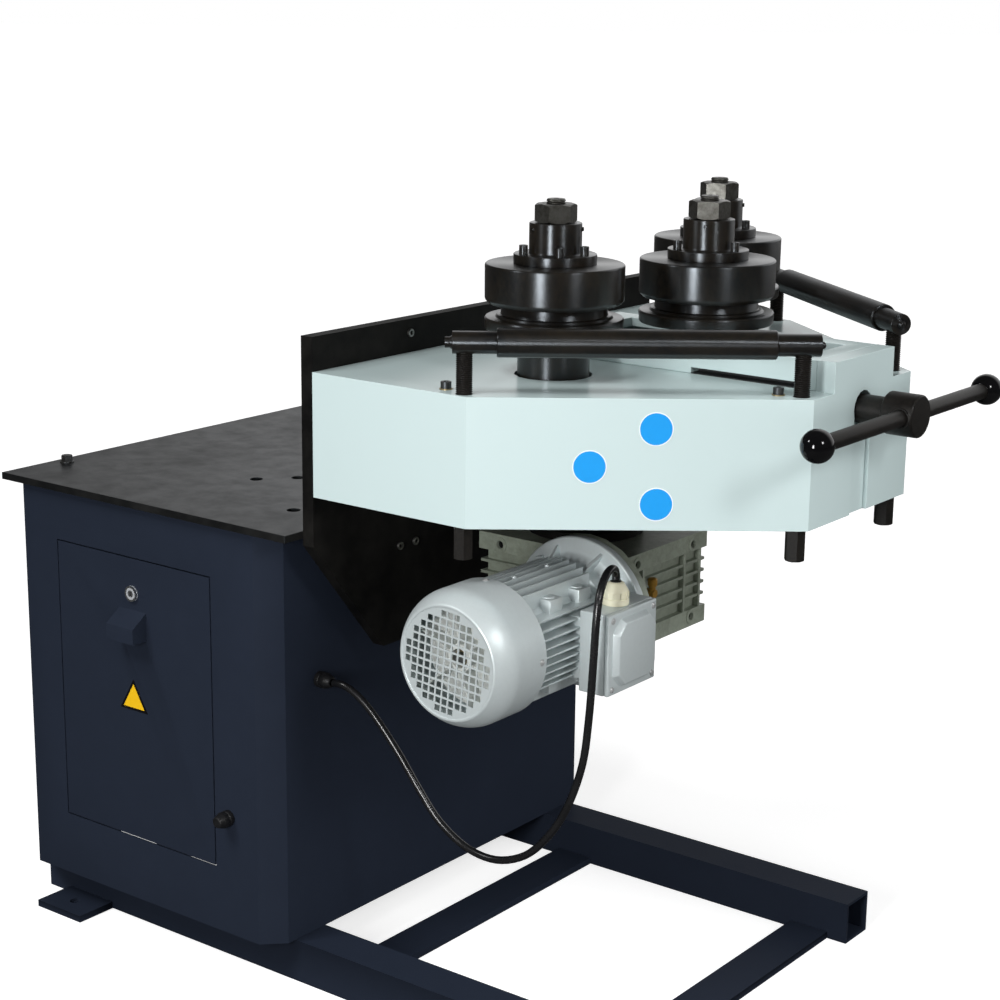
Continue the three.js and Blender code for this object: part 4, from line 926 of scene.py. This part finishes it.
def roller_pieces(name):
    """The lower roller, the main roller, the clamping sleeve with its screws, the nut and the spindle."""
    pitch = size_of("spindle_thread")
    screw_turns, grub_turns, nut_turn = ROLLER_TURNS[name]
    body = f"{name}_roller"
    x, y, _ = middle(f"{name}_main_roller")
    spot = move(x, y, 0)
    black = turned_black(f"{name}_black_oxide", (x, y, 0))
    bore, hub, rim, sleeve = 25.2, 45, 86.5, 32.5
    foot, flange_top = span(f"{name}_lower_roller", "z")
    main_low, main_top = span(f"{name}_main_roller", "z")
    groove = main_low - 17
    flange = groove - 15

    profile = [(bore, foot, 0.3), (hub, foot, 0.6), (hub, flange, 1.2), (rim - 1, flange, 1.2)]
    profile += [
        (rim, groove - 2.2, 0.8), (rim - 1.5, groove, 0.8), (73, groove, 0.6), (71, groove + 3.2, 0.8)
    ]
    profile += [(66.5, groove + 3.6, 0.8), (65, flange_top, 0.4), (bore, flange_top, 0.2)]
    shape = place(spun(profile, 96), spot)
    finish(shape, f"{name}_flange_roller", black, body, [f"{name}_lower_roller"])

    profile = [(bore, main_low, 0.3), (rim - 5, main_low, 1.5), (rim - 0.2, main_low + 5, 2)]
    profile += [(rim, main_top - 1.6, 1.2), (rim - 1.6, main_top, 0.8), (bore, main_top, 0.3)]
    shape = place(spun(profile, 112, 4), spot)
    finish(shape, f"{name}_ring_roller", black, body, [f"{name}_main_roller"])

    disc_low, sleeve_top = span(f"{name}_clamp_sleeve", "z")
    disc_top = disc_low + 11.7
    profile = [
        (bore, disc_low, 0.3), (51.5, disc_low, 0.5), (51.5, disc_top, 1), (sleeve + 0.9, disc_top, 0.8)
    ]
    profile += [(sleeve, disc_top + 1.4, 0.8), (sleeve, sleeve_top, 1.2), (bore, sleeve_top, 0.3)]
    parts = [place(spun(profile, 80), spot)]
    for angle in screw_turns:
        parts.append(place(cap_screw(5.4, 12), move(42, 0, disc_top - 0.3), turn(angle, "Z"), spot))
    for angle in grub_turns:
        grub = place(cap_screw(2.6, 3.6), TO_X, move(sleeve - 1.5, 0, sleeve_top - 7.5))
        parts.append(place(grub, turn(angle, "Z"), spot))
    finish(parts, f"{name}_clamp", black, body, [f"{name}_clamp_sleeve"])

    nut_low, nut_top = span(f"{name}_nut", "z")
    nut = place(hexagon(46, nut_low, nut_top), turn(nut_turn, "Z"), spot)
    finish(nut, f"{name}_hexagon_nut", "dark_steel", body, [f"{name}_nut"])

    base, top = span(f"{name}_spindle", "z")
    thin, thick, shoulder = 25, 30, foot - 0.3
    profile = [(0, base, 0), (thick, base, 0.8)]
    if name != "press":
        journal = base + 19.3
        profile = [(0, base, 0), (thin, base, 0.8), (thin, journal, 0.3), (thick, journal, 0.5)]
    profile += [
        (thick, shoulder, 0.5), (thin, shoulder, 0.3), (thin, nut_low - 0.6, 0.5), (11, nut_low - 0.6, 0.2)
    ]
    shaped = rounded(profile) + threaded(12, nut_low, top - 1.4, pitch, 1.3)
    shaped += [(10.6, top - 0.1), (3.2, top - 0.1), (1.8, top - 1.6), (0, top - 2.4)]
    shape = place(lathe(shaped, 64), spot)
    finish(shape, f"{name}_roller_spindle", "dark_steel", body, [f"{name}_spindle"])


class RINGROLLER_OT_rollers(bpy.types.Operator):
    """Turn the three rollers with their clamping pieces and spindles"""

    bl_idname = "ring_roller.rollers"
    bl_label = "Rollers"

    def execute(self, context):
        for name in ("near", "far", "press"):
            roller_pieces(name)
        for side in ("near", "far"):
            x, y, _ = middle(f"{side}_bearing")
            base, top = span(f"{side}_bearing", "z")
            half = [(30.8, base, 1), (38, base, 1), (38, base + 3, 0.5), (46, base + 3, 0.5), (46, base, 1)]
            half.append((55, base, 1.5))
            ring = place(spun(both_ends(half, base + top), 72), move(x, y, 0))
            finish(
                ring, f"{side}_ball_bearing", "machined_steel", "frame", [f"{side}_bearing"]
            )
            gear = (f"{side}_gear", f"{side}_driven_gear", "machined_steel", "bright_steel")
            dress(*gear, 0.4, 1, f"{side}_roller")
        dress("pinion_shaft", "output_pinion", "machined_steel", "bright_steel", 0.4, 1, "output")
        return {"FINISHED"}


# Pressing screw and its T-bar


class RINGROLLER_OT_screw(bpy.types.Operator):
    """Model the pressing screw, its hub and the sliding bar with its knobs"""

    bl_idname = "ring_roller.screw"
    bl_label = "Pressing screw"

    def execute(self, context):
        pitch = size_of("screw_thread")
        tip, end = span("pressing_screw", "x")
        axis = middle("pressing_screw").z
        hub_start, hub_end = span("screw_hub", "x")
        collar = low("screw_block").x - 8.3
        to_axis = (TO_X, move(0, 0, axis))
        shaped = [(0, tip), (13, tip), (15.4, tip + 2)]
        shaped += threaded(18, tip + 3, collar - 10, pitch, 2.4)
        shaped += [(15.6, collar - 9), (15.6, collar), (26, collar), (26, collar + 8), (18, collar + 8)]
        shaped += [(18, hub_start - 0.3), (14, hub_start - 0.3), (14, end), (0, end)]
        screw = place(lathe(shaped, 56), *to_axis)
        finish(screw, "pressing_spindle", "worn_black_steel", "screw", ["pressing_screw"])

        bar_x = middle("t_bar").x
        bore, radius = 14.3, 26.5
        outer = [
            (0, hub_start + 14, 0), (bore, hub_start + 14, 0), (bore, hub_start, 0.3),
            (radius - 1.5, hub_start, 0.8),
        ]
        outer += [
            (radius, hub_start + 1.6, 0.8), (radius, hub_end - 2, 1.2), (radius - 1.7, hub_end, 0.8),
            (0, hub_end, 0),
        ]
        parts = [place(spun(outer, 80, 4), *to_axis)]
        for out in (TO_FRONT, TO_Y):
            eye = spun([(10.25, 24, 0.2), (12.4, 24, 0.5), (12.4, 26.9, 0.6), (10.25, 26.9, 0.4)], 40)
            parts.append(place(eye, out, move(bar_x, 0, axis)))
        parts.append(place(cap_screw(3.2, 1.2), TO_X, move(hub_end - 1.1, 0, axis + 14)))
        finish(parts, "handle_hub", "worn_black_steel", "screw", ["screw_hub"])

        lower, upper = span("t_bar", "y")
        radius, pin, pin_length = 10, 5, 25.3
        rod = [
            (0, lower, 0), (pin, lower, 0.3), (pin, lower + pin_length, 0.2),
            (radius, lower + pin_length, 0.8),
        ]
        shape = place(spun(both_ends(rod, lower + upper), 48), TO_Y, move(bar_x, 0, axis))
        finish(shape, "handle_bar", "worn_black_steel", "handle", ["t_bar"])
        for side, centre_y, out in (("near", lower + 8, TO_FRONT), ("far", upper - 8, TO_Y)):
            centre = middle(f"{side}_knob")
            ball = bmesh.new()
            bmesh.ops.create_uvsphere(ball, u_segments=64, v_segments=40, radius=20)
            cut = bmesh.ops.bisect_plane(
                ball, geom=ball.verts[:] + ball.edges[:] + ball.faces[:], plane_co=(0, 0, -17.4),
                plane_no=(0, 0, -1), clear_outer=True,
            )["geom_cut"]
            bmesh.ops.holes_fill(ball, edges=[e for e in cut if isinstance(e, bmesh.types.BMEdge)])
            ball = place(ball, out, move(centre.x, centre_y, centre.z))
            finish(
                ball, f"{side}_ball_knob", "gloss_black_plastic", "handle", [f"{side}_knob"]
            )
        return {"FINISHED"}


# Guide bars


class RINGROLLER_OT_guide_bars(bpy.types.Operator):
    """Model the two guide bars with their tubes, end screws and threaded studs"""

    bl_idname = "ring_roller.guide_bars"
    bl_label = "Guide bars"

    def execute(self, context):
        for side in ("near", "far"):
            rear, front = middle(f"{side}_rear_stud"), middle(f"{side}_front_stud")
            centre = (rear + front) / 2
            centre.z = middle(f"{side}_guide_shaft").z
            heading = math.atan2(front.y - rear.y, front.x - rear.x)
            steel = turned_black(f"{side}_bar_black", centre, (math.cos(heading), math.sin(heading), 0))
            # The bar is moved 3 mm towards its front stud
            to_bar = (move(0, 0, 3), TO_X, turn(math.degrees(heading), "Z"), Matrix.Translation(centre))
            spacing = (front - rear).length / 2
            shaft_end, tube_end = spacing + 17.5, spacing - 35

            shaft = spun(both_ends([(0, -shaft_end, 0), (13.5, -shaft_end, 1)]), 48)
            rings = [(0, 0, 0), (8, 0, 0), (8, 1.3, 0.4), (7.3, 1.5, 0.2), (7.3, 2.8, 0.4), (0, 2.8, 0)]
            screw = merge([spun(rings, 28), place(cap_screw(6.6, 6.4), move(0, 0, 2.6))])
            screw = place(screw, turn(180, "X"), move(0, 0, 0.3 - shaft_end))
            point = spun([(0, 0, 0), (4.6, 0, 0), (4.6, 3.6, 0.4), (2.6, 5.6, 0.3), (0, 5.6, 0)], 28)
            made = place(merge([shaft, screw, place(point, move(0, 0, shaft_end - 0.3))]), *to_bar)
            finish(made, f"{side}_bar_shaft", steel, f"{side}_bar", [f"{side}_guide_shaft"])

            half = [(14.1, tube_end, 0.4), (16.6, tube_end, 0.5), (17.5, tube_end - 1.4, 0.5)]
            made = place(spun(both_ends(half), 56), *to_bar)
            finish(made, f"{side}_bar_tube", steel, f"{side}_tube", [f"{side}_guide_tube"])

            for end, spot in (("rear", rear), ("front", front)):
                node = f"{side}_{end}_stud"
                base, top = span(node, "z")
                hex_top = base + 41
                profile = [(0, hex_top - 1), (9, hex_top - 1)]
                profile += threaded(10, hex_top, top - 1.5, 2.5, 1.2)
                profile += [(8.4, top - 0.5), (8.4, top), (0, top)]
                stud = merge([hexagon(22, base, hex_top), lathe(profile, 32)])
                stud = place(stud, turn(12, "Z"), move(spot.x, spot.y, 0))
                body = f"{side}_stud_{end}"
                finish(stud, f"{side}_{end}_threaded_stud", "worn_black_steel", body, [node])
        return {"FINISHED"}


# Worm gearbox


class RINGROLLER_OT_gearbox(bpy.types.Operator):
    """Dress the worm gearbox and its carrier, and model its screw eyes, ribs, plug and worm"""

    bl_idname = "ring_roller.gearbox"
    bl_label = "Gearbox"

    def execute(self, context):
        # The carrier is cast aluminium; it takes the black plate finish as painted shade, for the dark gap
        # under the head
        dress("gearbox_adapter", "gearbox_carrier", "blackened_plate", "cast_aluminium", 1.0)
        dress("gearbox_housing", "gearbox_casting", "cast_aluminium", "cast_aluminium", 0.9)
        # The casting's right face, its height below the carrier, and its front face with the column of holes
        right = middle("gearbox_adapter").x + 131
        top = low("gearbox_adapter").z - 0.3
        base = top - 130
        front, front_x = -103, right - 198
        to_holes = []
        for z in (base + 14, top - 14):
            to_holes += [
                (TO_X, move(right, -67, z)), (TO_X, move(right, 67, z)), (TO_FRONT, move(front_x, front, z))
            ]
        eye = [(5.6, 0, 0), (10.5, 0, 0), (10.5, 1.6, 0.8), (5.6, 1.6, 0.5)]
        parts = [place(spun(eye, 32), move(0, 0, -0.4), *to_hole) for to_hole in to_holes]
        end = [(0, 0), (5.4, 0), (5.4, 1), (0, 1)]
        holes = [place(lathe(end, 32), move(0, 0, -5), *to_hole) for to_hole in to_holes]
        for y in (-88, -50, 50, 88):
            parts.append(block((right - 9, y - 2.5, base + 22), (right - 0.4, y + 2.5, top - 22), 0.8))
        finish(parts, "gearbox_eyes", "cast_aluminium")
        finish(holes, "gearbox_hole_ends", "gloss_black_plastic")

        # The filler plug's place on the right face
        plug_y, plug_z = -36, 541
        elbow = place(
            spun([(0, -6, 0), (6, -6, 0), (6, 9, 0.8), (0, 9, 0)], 28), TO_X, move(right, plug_y, plug_z)
        )
        stem = [(0, 0, 0), (4.6, 0, 0), (4.6, 9, 0.3), (5.4, 9.4, 0.3), (5.4, 11, 0.3), (0, 11, 0)]
        cap = [(0, 0, 0), (6, 0, 0.4), (6.6, 1.2, 0.5), (6.6, 8, 1.2), (4.5, 10.4, 1), (0, 11, 0)]
        plug = merge([spun(stem, 28), place(spun(cap, 32, 4), move(0, 0, 11))])
        finish([elbow, place(plug, move(right + 4, plug_y, plug_z))], "gearbox_plug", "brass")

        dress("worm_wheel", "bronze_worm_wheel", "bronze", "bronze", 0.4, 1, "output")
        axis = middle("worm")
        start, end = span("worm", "y")
        thread = [(12.4, start), (18, start), (18, -62)]
        thread += threaded(22, -60, 56, 9.5, 6)
        thread += [(16, 57), (16, end), (0, end), (0, -20), (12.4, -20)]
        shape = place(lathe(thread, 48), TO_Y, move(axis.x, 0, axis.z))
        finish(shape, "steel_worm", "machined_steel", "rotor", ["worm"])
        return {"FINISHED"}


# Motor

# Turns round the motor, in degrees, of the screws that hold the fan cover, and of its grid of holes
COVER_SCREWS = (0, 90, 180, 270)
GRILLE_TURN = 4.8


class RINGROLLER_OT_motor(bpy.types.Operator):
    """Model the motor: flange, finned body, rotor, fan and the cover with its grille"""

    bl_idname = "ring_roller.motor"
    bl_label = "Motor"

    def execute(self, context):
        axis = middle("fan_cover")
        centre = move(axis.x, 0, axis.z)
        along = (TO_Y, centre)
        self.flange(along)
        self.body(along)
        self.cover(along)
        dress("motor_rotor", "rotor_shaft", "machined_steel", "bright_steel", 0.6, body="rotor")
        self.fan(along)
        return {"FINISHED"}

    def fan(self, along):
        """Six straight blades on a disc, a hub with a groove round the shaft, and the shaft's clip."""
        front, back = span("cooling_fan", "y")
        bore = 8.3
        hub = [
            (bore, front + 9, 0), (12, front + 9, 0.3), (12, front, 0.8), (18, front + 1, 1.5),
            (19, back - 5, 1),
        ]
        hub += [(19, back, 0.5), (bore, back, 0)]
        disc = [(18, front + 28, 0), (68, front + 28, 0.5), (68, front + 31, 0.5), (18, front + 32, 0)]
        parts = [spun(hub, 72), spun(disc, 72)]
        for i in range(6):
            blade = block((17, -1.5, front + 2), (72, 1.5, front + 30), 1)
            for v in blade.verts:
                if v.co.x > 60 and v.co.z < front + 5:
                    v.co.z += 4
            parts.append(place(blade, turn(-100 - i * 60, "Z")))
        finish(
            place(merge(parts), *along), "fan_wheel", "fan_plastic", "rotor", ["cooling_fan"],
        )
        # The clip lies in the hub's groove
        low_face, high_face = front + 4, front + 5.2
        clip = [(7.9, low_face, 0.2), (10.6, low_face, 0.3), (10.6, high_face, 0.3), (7.9, high_face, 0.2)]
        finish(place(spun(clip, 40), *along), "fan_clip", "yellow_zinc", "rotor")

    def flange(self, along):
        """Round flange with its bolts and the webbed end shield behind it."""
        # Where its faces are along the motor, and the radius of the hole for the shaft
        shield, step, front, back, bore = -171.9, -137, -141, -129.2, 12.5
        profile = [(bore, shield, 0), (72, shield, 2), (69, -151, 3), (80, front - 2, 3), (98.6, front, 1.5)]
        profile += [
            (100, front + 1.5, 1), (100, back, 0.8), (24, back, 0.3), (24, step, 0.3), (bore, step, 0)
        ]
        parts = [spun(profile, 96)]
        for i in range(8):
            web = block((66, -2.5, -171), (92, 2.5, -140), 0.8)
            for v in web.verts:
                if v.co.x > 75 and v.co.z < -150:
                    v.co.x -= 18
            parts.append(place(web, turn(i * 45 + 22.5, "Z")))
        for i in range(4):
            bolt = place(hexagon(16, 0, 9, crown=False), turn(180, "X"), move(82.5, 0, front))
            parts.append(place(bolt, turn(45 + i * 90, "Z")))
        shape = place(merge(parts), *along)
        finish(shape, "motor_end_flange", "motor_paint", "frame", ["motor_flange"])

    def body(self, along):
        """Round core with straight fins on four sides, foot pads and the seat of the terminal box."""
        start, end = span("motor_body", "y")
        box_low, box_high = low("terminal_box"), high("terminal_box")
        seat_top = box_low.x - middle("fan_cover").x
        # Radii of the body's hollow, of the hole for the shaft and of the front rim
        bore, shaft, rim = 41.5, 12.5, 84.6
        core = [
            (bore, start, 0), (rim, start, 0.3), (rim, start + 10, 0.5), (66, start + 12, 0),
            (66, end - 8, 0),
        ]
        core += [(74, end - 6, 0.5), (74, end, 1), (shaft, end, 0), (shaft, end - 20, 0), (bore, end - 20, 0)]
        parts = [spun(core, 96)]
        pitch = size_of("fin_pitch")
        for i in range(-4, 5):
            across = i * pitch
            foot, tip = (math.sqrt(radius**2 - across**2) for radius in (64, 82))
            for side in (0, 90, 180, 270):
                reach = min(tip, seat_top - 0.5) if side == 0 else tip
                fin = block((foot - 2, across - 1.2, start + 10), (reach, across + 1.2, end - 7), 0.5, 1)
                parts.append(place(fin, turn(side, "Z")))
        # Square pads between the fins, each with a round boss, at two places along the motor
        boss = [(0, 57, 0), (8.5, 57, 0), (8.5, 61.5, 1.2), (0, 61.5, 0)]
        for spot in (-272, -212):
            for x, z in ((-1, -1), (-1, 1), (1, -1), (1, 1)):
                lower = (min(x * 34, x * 60), min(z * 34, z * 60), spot - 13)
                upper = (max(x * 34, x * 60), max(z * 34, z * 60), spot + 13)
                pad = block(lower, upper, 2)
                parts += [pad, place(spun(boss, 24), turn(-90 * z, "X"), move(x * 47, 0, spot))]
        for spot in (-291, -223):
            parts.append(place(cap_screw(3, 3), TO_FRONT, move(8.5, -80.5, spot)))
        made = place(merge(parts), *along)
        # Whatever stands in the terminal box's place is pressed down to its seat
        limit, margin = box_low.x - 0.3, 0.4
        for v in made.verts:
            beside = (box_low[i] - margin < v.co[i] < box_high[i] + margin for i in (1, 2))
            if v.co.x > limit and all(beside):
                v.co.x = limit
        seat_end = min(box_high.y - 12, end - 2)
        seat = block((limit - 22, box_low.y + 8, box_low.z + 12), (limit, seat_end, box_high.z - 12), 1)
        finish([made, seat], "finned_motor_body", "motor_paint", "frame", ["motor_body"])

    def cover(self, along):
        """Drawn cover with a rounded end, a grid of square holes and four screws."""
        pitch, hole = size_of("grille_pitch"), size_of("grille_hole")
        end, back = span("fan_cover", "y")
        radius, wall, steps = 87, 1.8, 12
        outer, inner = [(radius, back)], [(radius - wall, back)]
        for k in range(steps + 1):
            share = k / steps
            drawn_in = radius - 13.6 * share**2
            outer.append((drawn_in, end + 1.4 + 32.6 * (1 - share)))
            inner.append((drawn_in - wall, end + 2.6 + 31.4 * (1 - share)))
        rim = [
            (72.6, end + 0.5), (71.2, end), (70, end), (69, end + 0.5), (68.6, end + 1.4), (68.6, end + 2.8)
        ]
        shell = lathe([*outer, *rim, *reversed(inner)], 112)
        # The disc of sheet and the smaller circle within which its squares are open
        reach, open_within = 69, 62.5
        count = int(70 / pitch) + 1
        lines = {
            (i * pitch + side * hole / 2) * sign
            for i in range(count + 1) for side in (-1, 1) for sign in (-1, 1)
        }
        lines = sorted(lines)
        cells = len(lines) - 1
        grid = bmesh.new()
        bmesh.ops.create_grid(grid, x_segments=cells, y_segments=cells, size=1)
        for v in grid.verts:
            v.co.x, v.co.y = (lines[round((v.co[i] + 1) / 2 * cells)] for i in (0, 1))
        open_faces = []
        for face in grid.faces:
            spot = face.calc_center_median()
            wide = [max(v.co[i] for v in face.verts) - min(v.co[i] for v in face.verts) for i in (0, 1)]
            centred = all(abs(spot[i] / pitch - round(spot[i] / pitch)) < 0.01 for i in (0, 1))
            if centred and min(wide) > hole * 0.9 and spot.xy.length < open_within:
                open_faces.append(face)
        bmesh.ops.delete(grid, geom=open_faces, context="FACES")
        for k in range(48):
            out = turn(k / 48 * 360, "Z") @ Vector((1, 0, 0))
            whole = grid.verts[:] + grid.edges[:] + grid.faces[:]
            bmesh.ops.bisect_plane(grid, geom=whole, plane_co=out * reach, plane_no=out, clear_outer=True)
        grown = bmesh.ops.extrude_face_region(grid, geom=grid.faces[:])["geom"]
        bmesh.ops.translate(grid, verts=verts_of(grown), vec=(0, 0, 1.3))
        bmesh.ops.recalc_face_normals(grid, faces=grid.faces[:])
        place(grid, move(0, 0, end + 0.9), turn(GRILLE_TURN, "Z"))
        finish(
            place(merge([shell, grid]), *along), "fan_cover_shell", "motor_paint", "frame", ["fan_cover"],
        )
        spot = move(86.6, 0, back - 9)
        screws = [place(dome_screw(4.5, 2.6), TO_X, spot, turn(angle, "Z")) for angle in COVER_SCREWS]
        finish(place(merge(screws), *along), "cover_screws", "bright_zinc")


class RINGROLLER_OT_terminal_box(bpy.types.Operator):
    """Model the terminal box, its lid and the cable gland on it"""

    bl_idname = "ring_roller.terminal_box"
    bl_label = "Terminal box"

    def execute(self, context):
        dress("terminal_box", "terminal_housing", "motor_paint", "motor_paint", 2.5, 4, smooth=32)
        centre, left = middle("terminal_box_lid"), low("terminal_box_lid").x
        half = high("terminal_box_lid").y - centre.y
        thick, cut, reach = 7, 16, half - 8
        plate = block((0, -half, -half), (thick, half, half), 2.5, 4)
        outline = []
        for x, y in ((1, 1), (-1, 1), (-1, -1), (1, -1)):
            pair = [(x * reach, y * (reach - cut)), (x * (reach - cut), y * reach)]
            outline += pair if x * y > 0 else reversed(pair)
        panel = slab(outline, thick - 1, 15)
        bmesh.ops.scale(panel, vec=(0.89, 0.89, 1), verts=[v for v in panel.verts if v.co.z > 11])
        place(ease(panel, 1.2, 3, 20), TO_X)
        spot = move(left, centre.y, centre.z)
        finish(
            place(merge([plate, panel]), spot), "terminal_lid", "motor_paint", "frame", ["terminal_box_lid"],
        )
        corners = [move(thick, y * reach, z * reach) for y in (-1, 1) for z in (-1, 1)]
        screws = [place(dome_screw(4.2, 2.4), TO_X, corner, spot) for corner in corners]
        finish(screws, "lid_screws", "bright_zinc")
        gasket = block((-0.8, 3 - half, 3 - half), (0.6, half - 3, half - 3), 0.3)
        finish(place(gasket, spot), "lid_gasket", "black_plastic")

        base, top = span("motor_gland", "z")
        height, seat = top - base, middle("motor_gland")
        to_gland = move(seat.x, seat.y, base)
        gland = place(cable_gland(height - 1.5, 34, 10, 7), to_gland)
        finish(gland, "cream_gland", "cream_plastic", "frame", ["motor_gland"])
        seal = [
            (0, 2, 0), (7, 2, 0), (7.2, height - 1.2, 0.5), (5.3, height - 0.2, 0.4), (0, height - 0.2, 0)
        ]
        finish(place(spun(seal, 32), to_gland), "gland_seal", "black_plastic")
        return {"FINISHED"}


class RINGROLLER_PT_panel(bpy.types.Panel):
    """Shows the sizes, the colours and the steps that build the ring roller"""

    bl_idname = "RINGROLLER_PT_panel"
    bl_label = "Ring Roller"
    bl_space_type = "VIEW_3D"
    bl_region_type = "UI"
    bl_category = "Ring Roller"

    def draw(self, context):
        scene = context.scene
        for values in (scene.ring_roller_sizes, scene.ring_roller_colours):
            for name in values.__annotations__:
                self.layout.prop(values, name)
        for step in STEPS:
            self.layout.operator(step.bl_idname)


STEPS = (
    RINGROLLER_OT_finishes,
    RINGROLLER_OT_stage,
    RINGROLLER_OT_cable,
    RINGROLLER_OT_stand,
    RINGROLLER_OT_door,
    RINGROLLER_OT_cabinet_glands,
    RINGROLLER_OT_head,
    RINGROLLER_OT_stickers,
    RINGROLLER_OT_rollers,
    RINGROLLER_OT_screw,
    RINGROLLER_OT_guide_bars,
    RINGROLLER_OT_gearbox,
    RINGROLLER_OT_motor,
    RINGROLLER_OT_terminal_box,
)
CLASSES = (RingRollerSizes, RingRollerColours, *STEPS, RINGROLLER_PT_panel)


def register():
    for item in CLASSES:
        bpy.utils.register_class(item)
    bpy.types.Scene.ring_roller_sizes = bpy.props.PointerProperty(type=RingRollerSizes)
    bpy.types.Scene.ring_roller_colours = bpy.props.PointerProperty(type=RingRollerColours)


def unregister():
    del bpy.types.Scene.ring_roller_colours
    del bpy.types.Scene.ring_roller_sizes
    for item in reversed(CLASSES):
        bpy.utils.unregister_class(item)


def main():
    register()
    bpy.ops.ring_roller.finishes()
    bpy.ops.ring_roller.stage()
    bpy.ops.ring_roller.cable()
    bpy.ops.ring_roller.stand()
    bpy.ops.ring_roller.door()
    bpy.ops.ring_roller.cabinet_glands()
    bpy.ops.ring_roller.head()
    bpy.ops.ring_roller.stickers()
    bpy.ops.ring_roller.rollers()
    bpy.ops.ring_roller.screw()
    bpy.ops.ring_roller.guide_bars()
    bpy.ops.ring_roller.gearbox()
    bpy.ops.ring_roller.motor()
    bpy.ops.ring_roller.terminal_box()


if __name__ == "__main__":
    main()
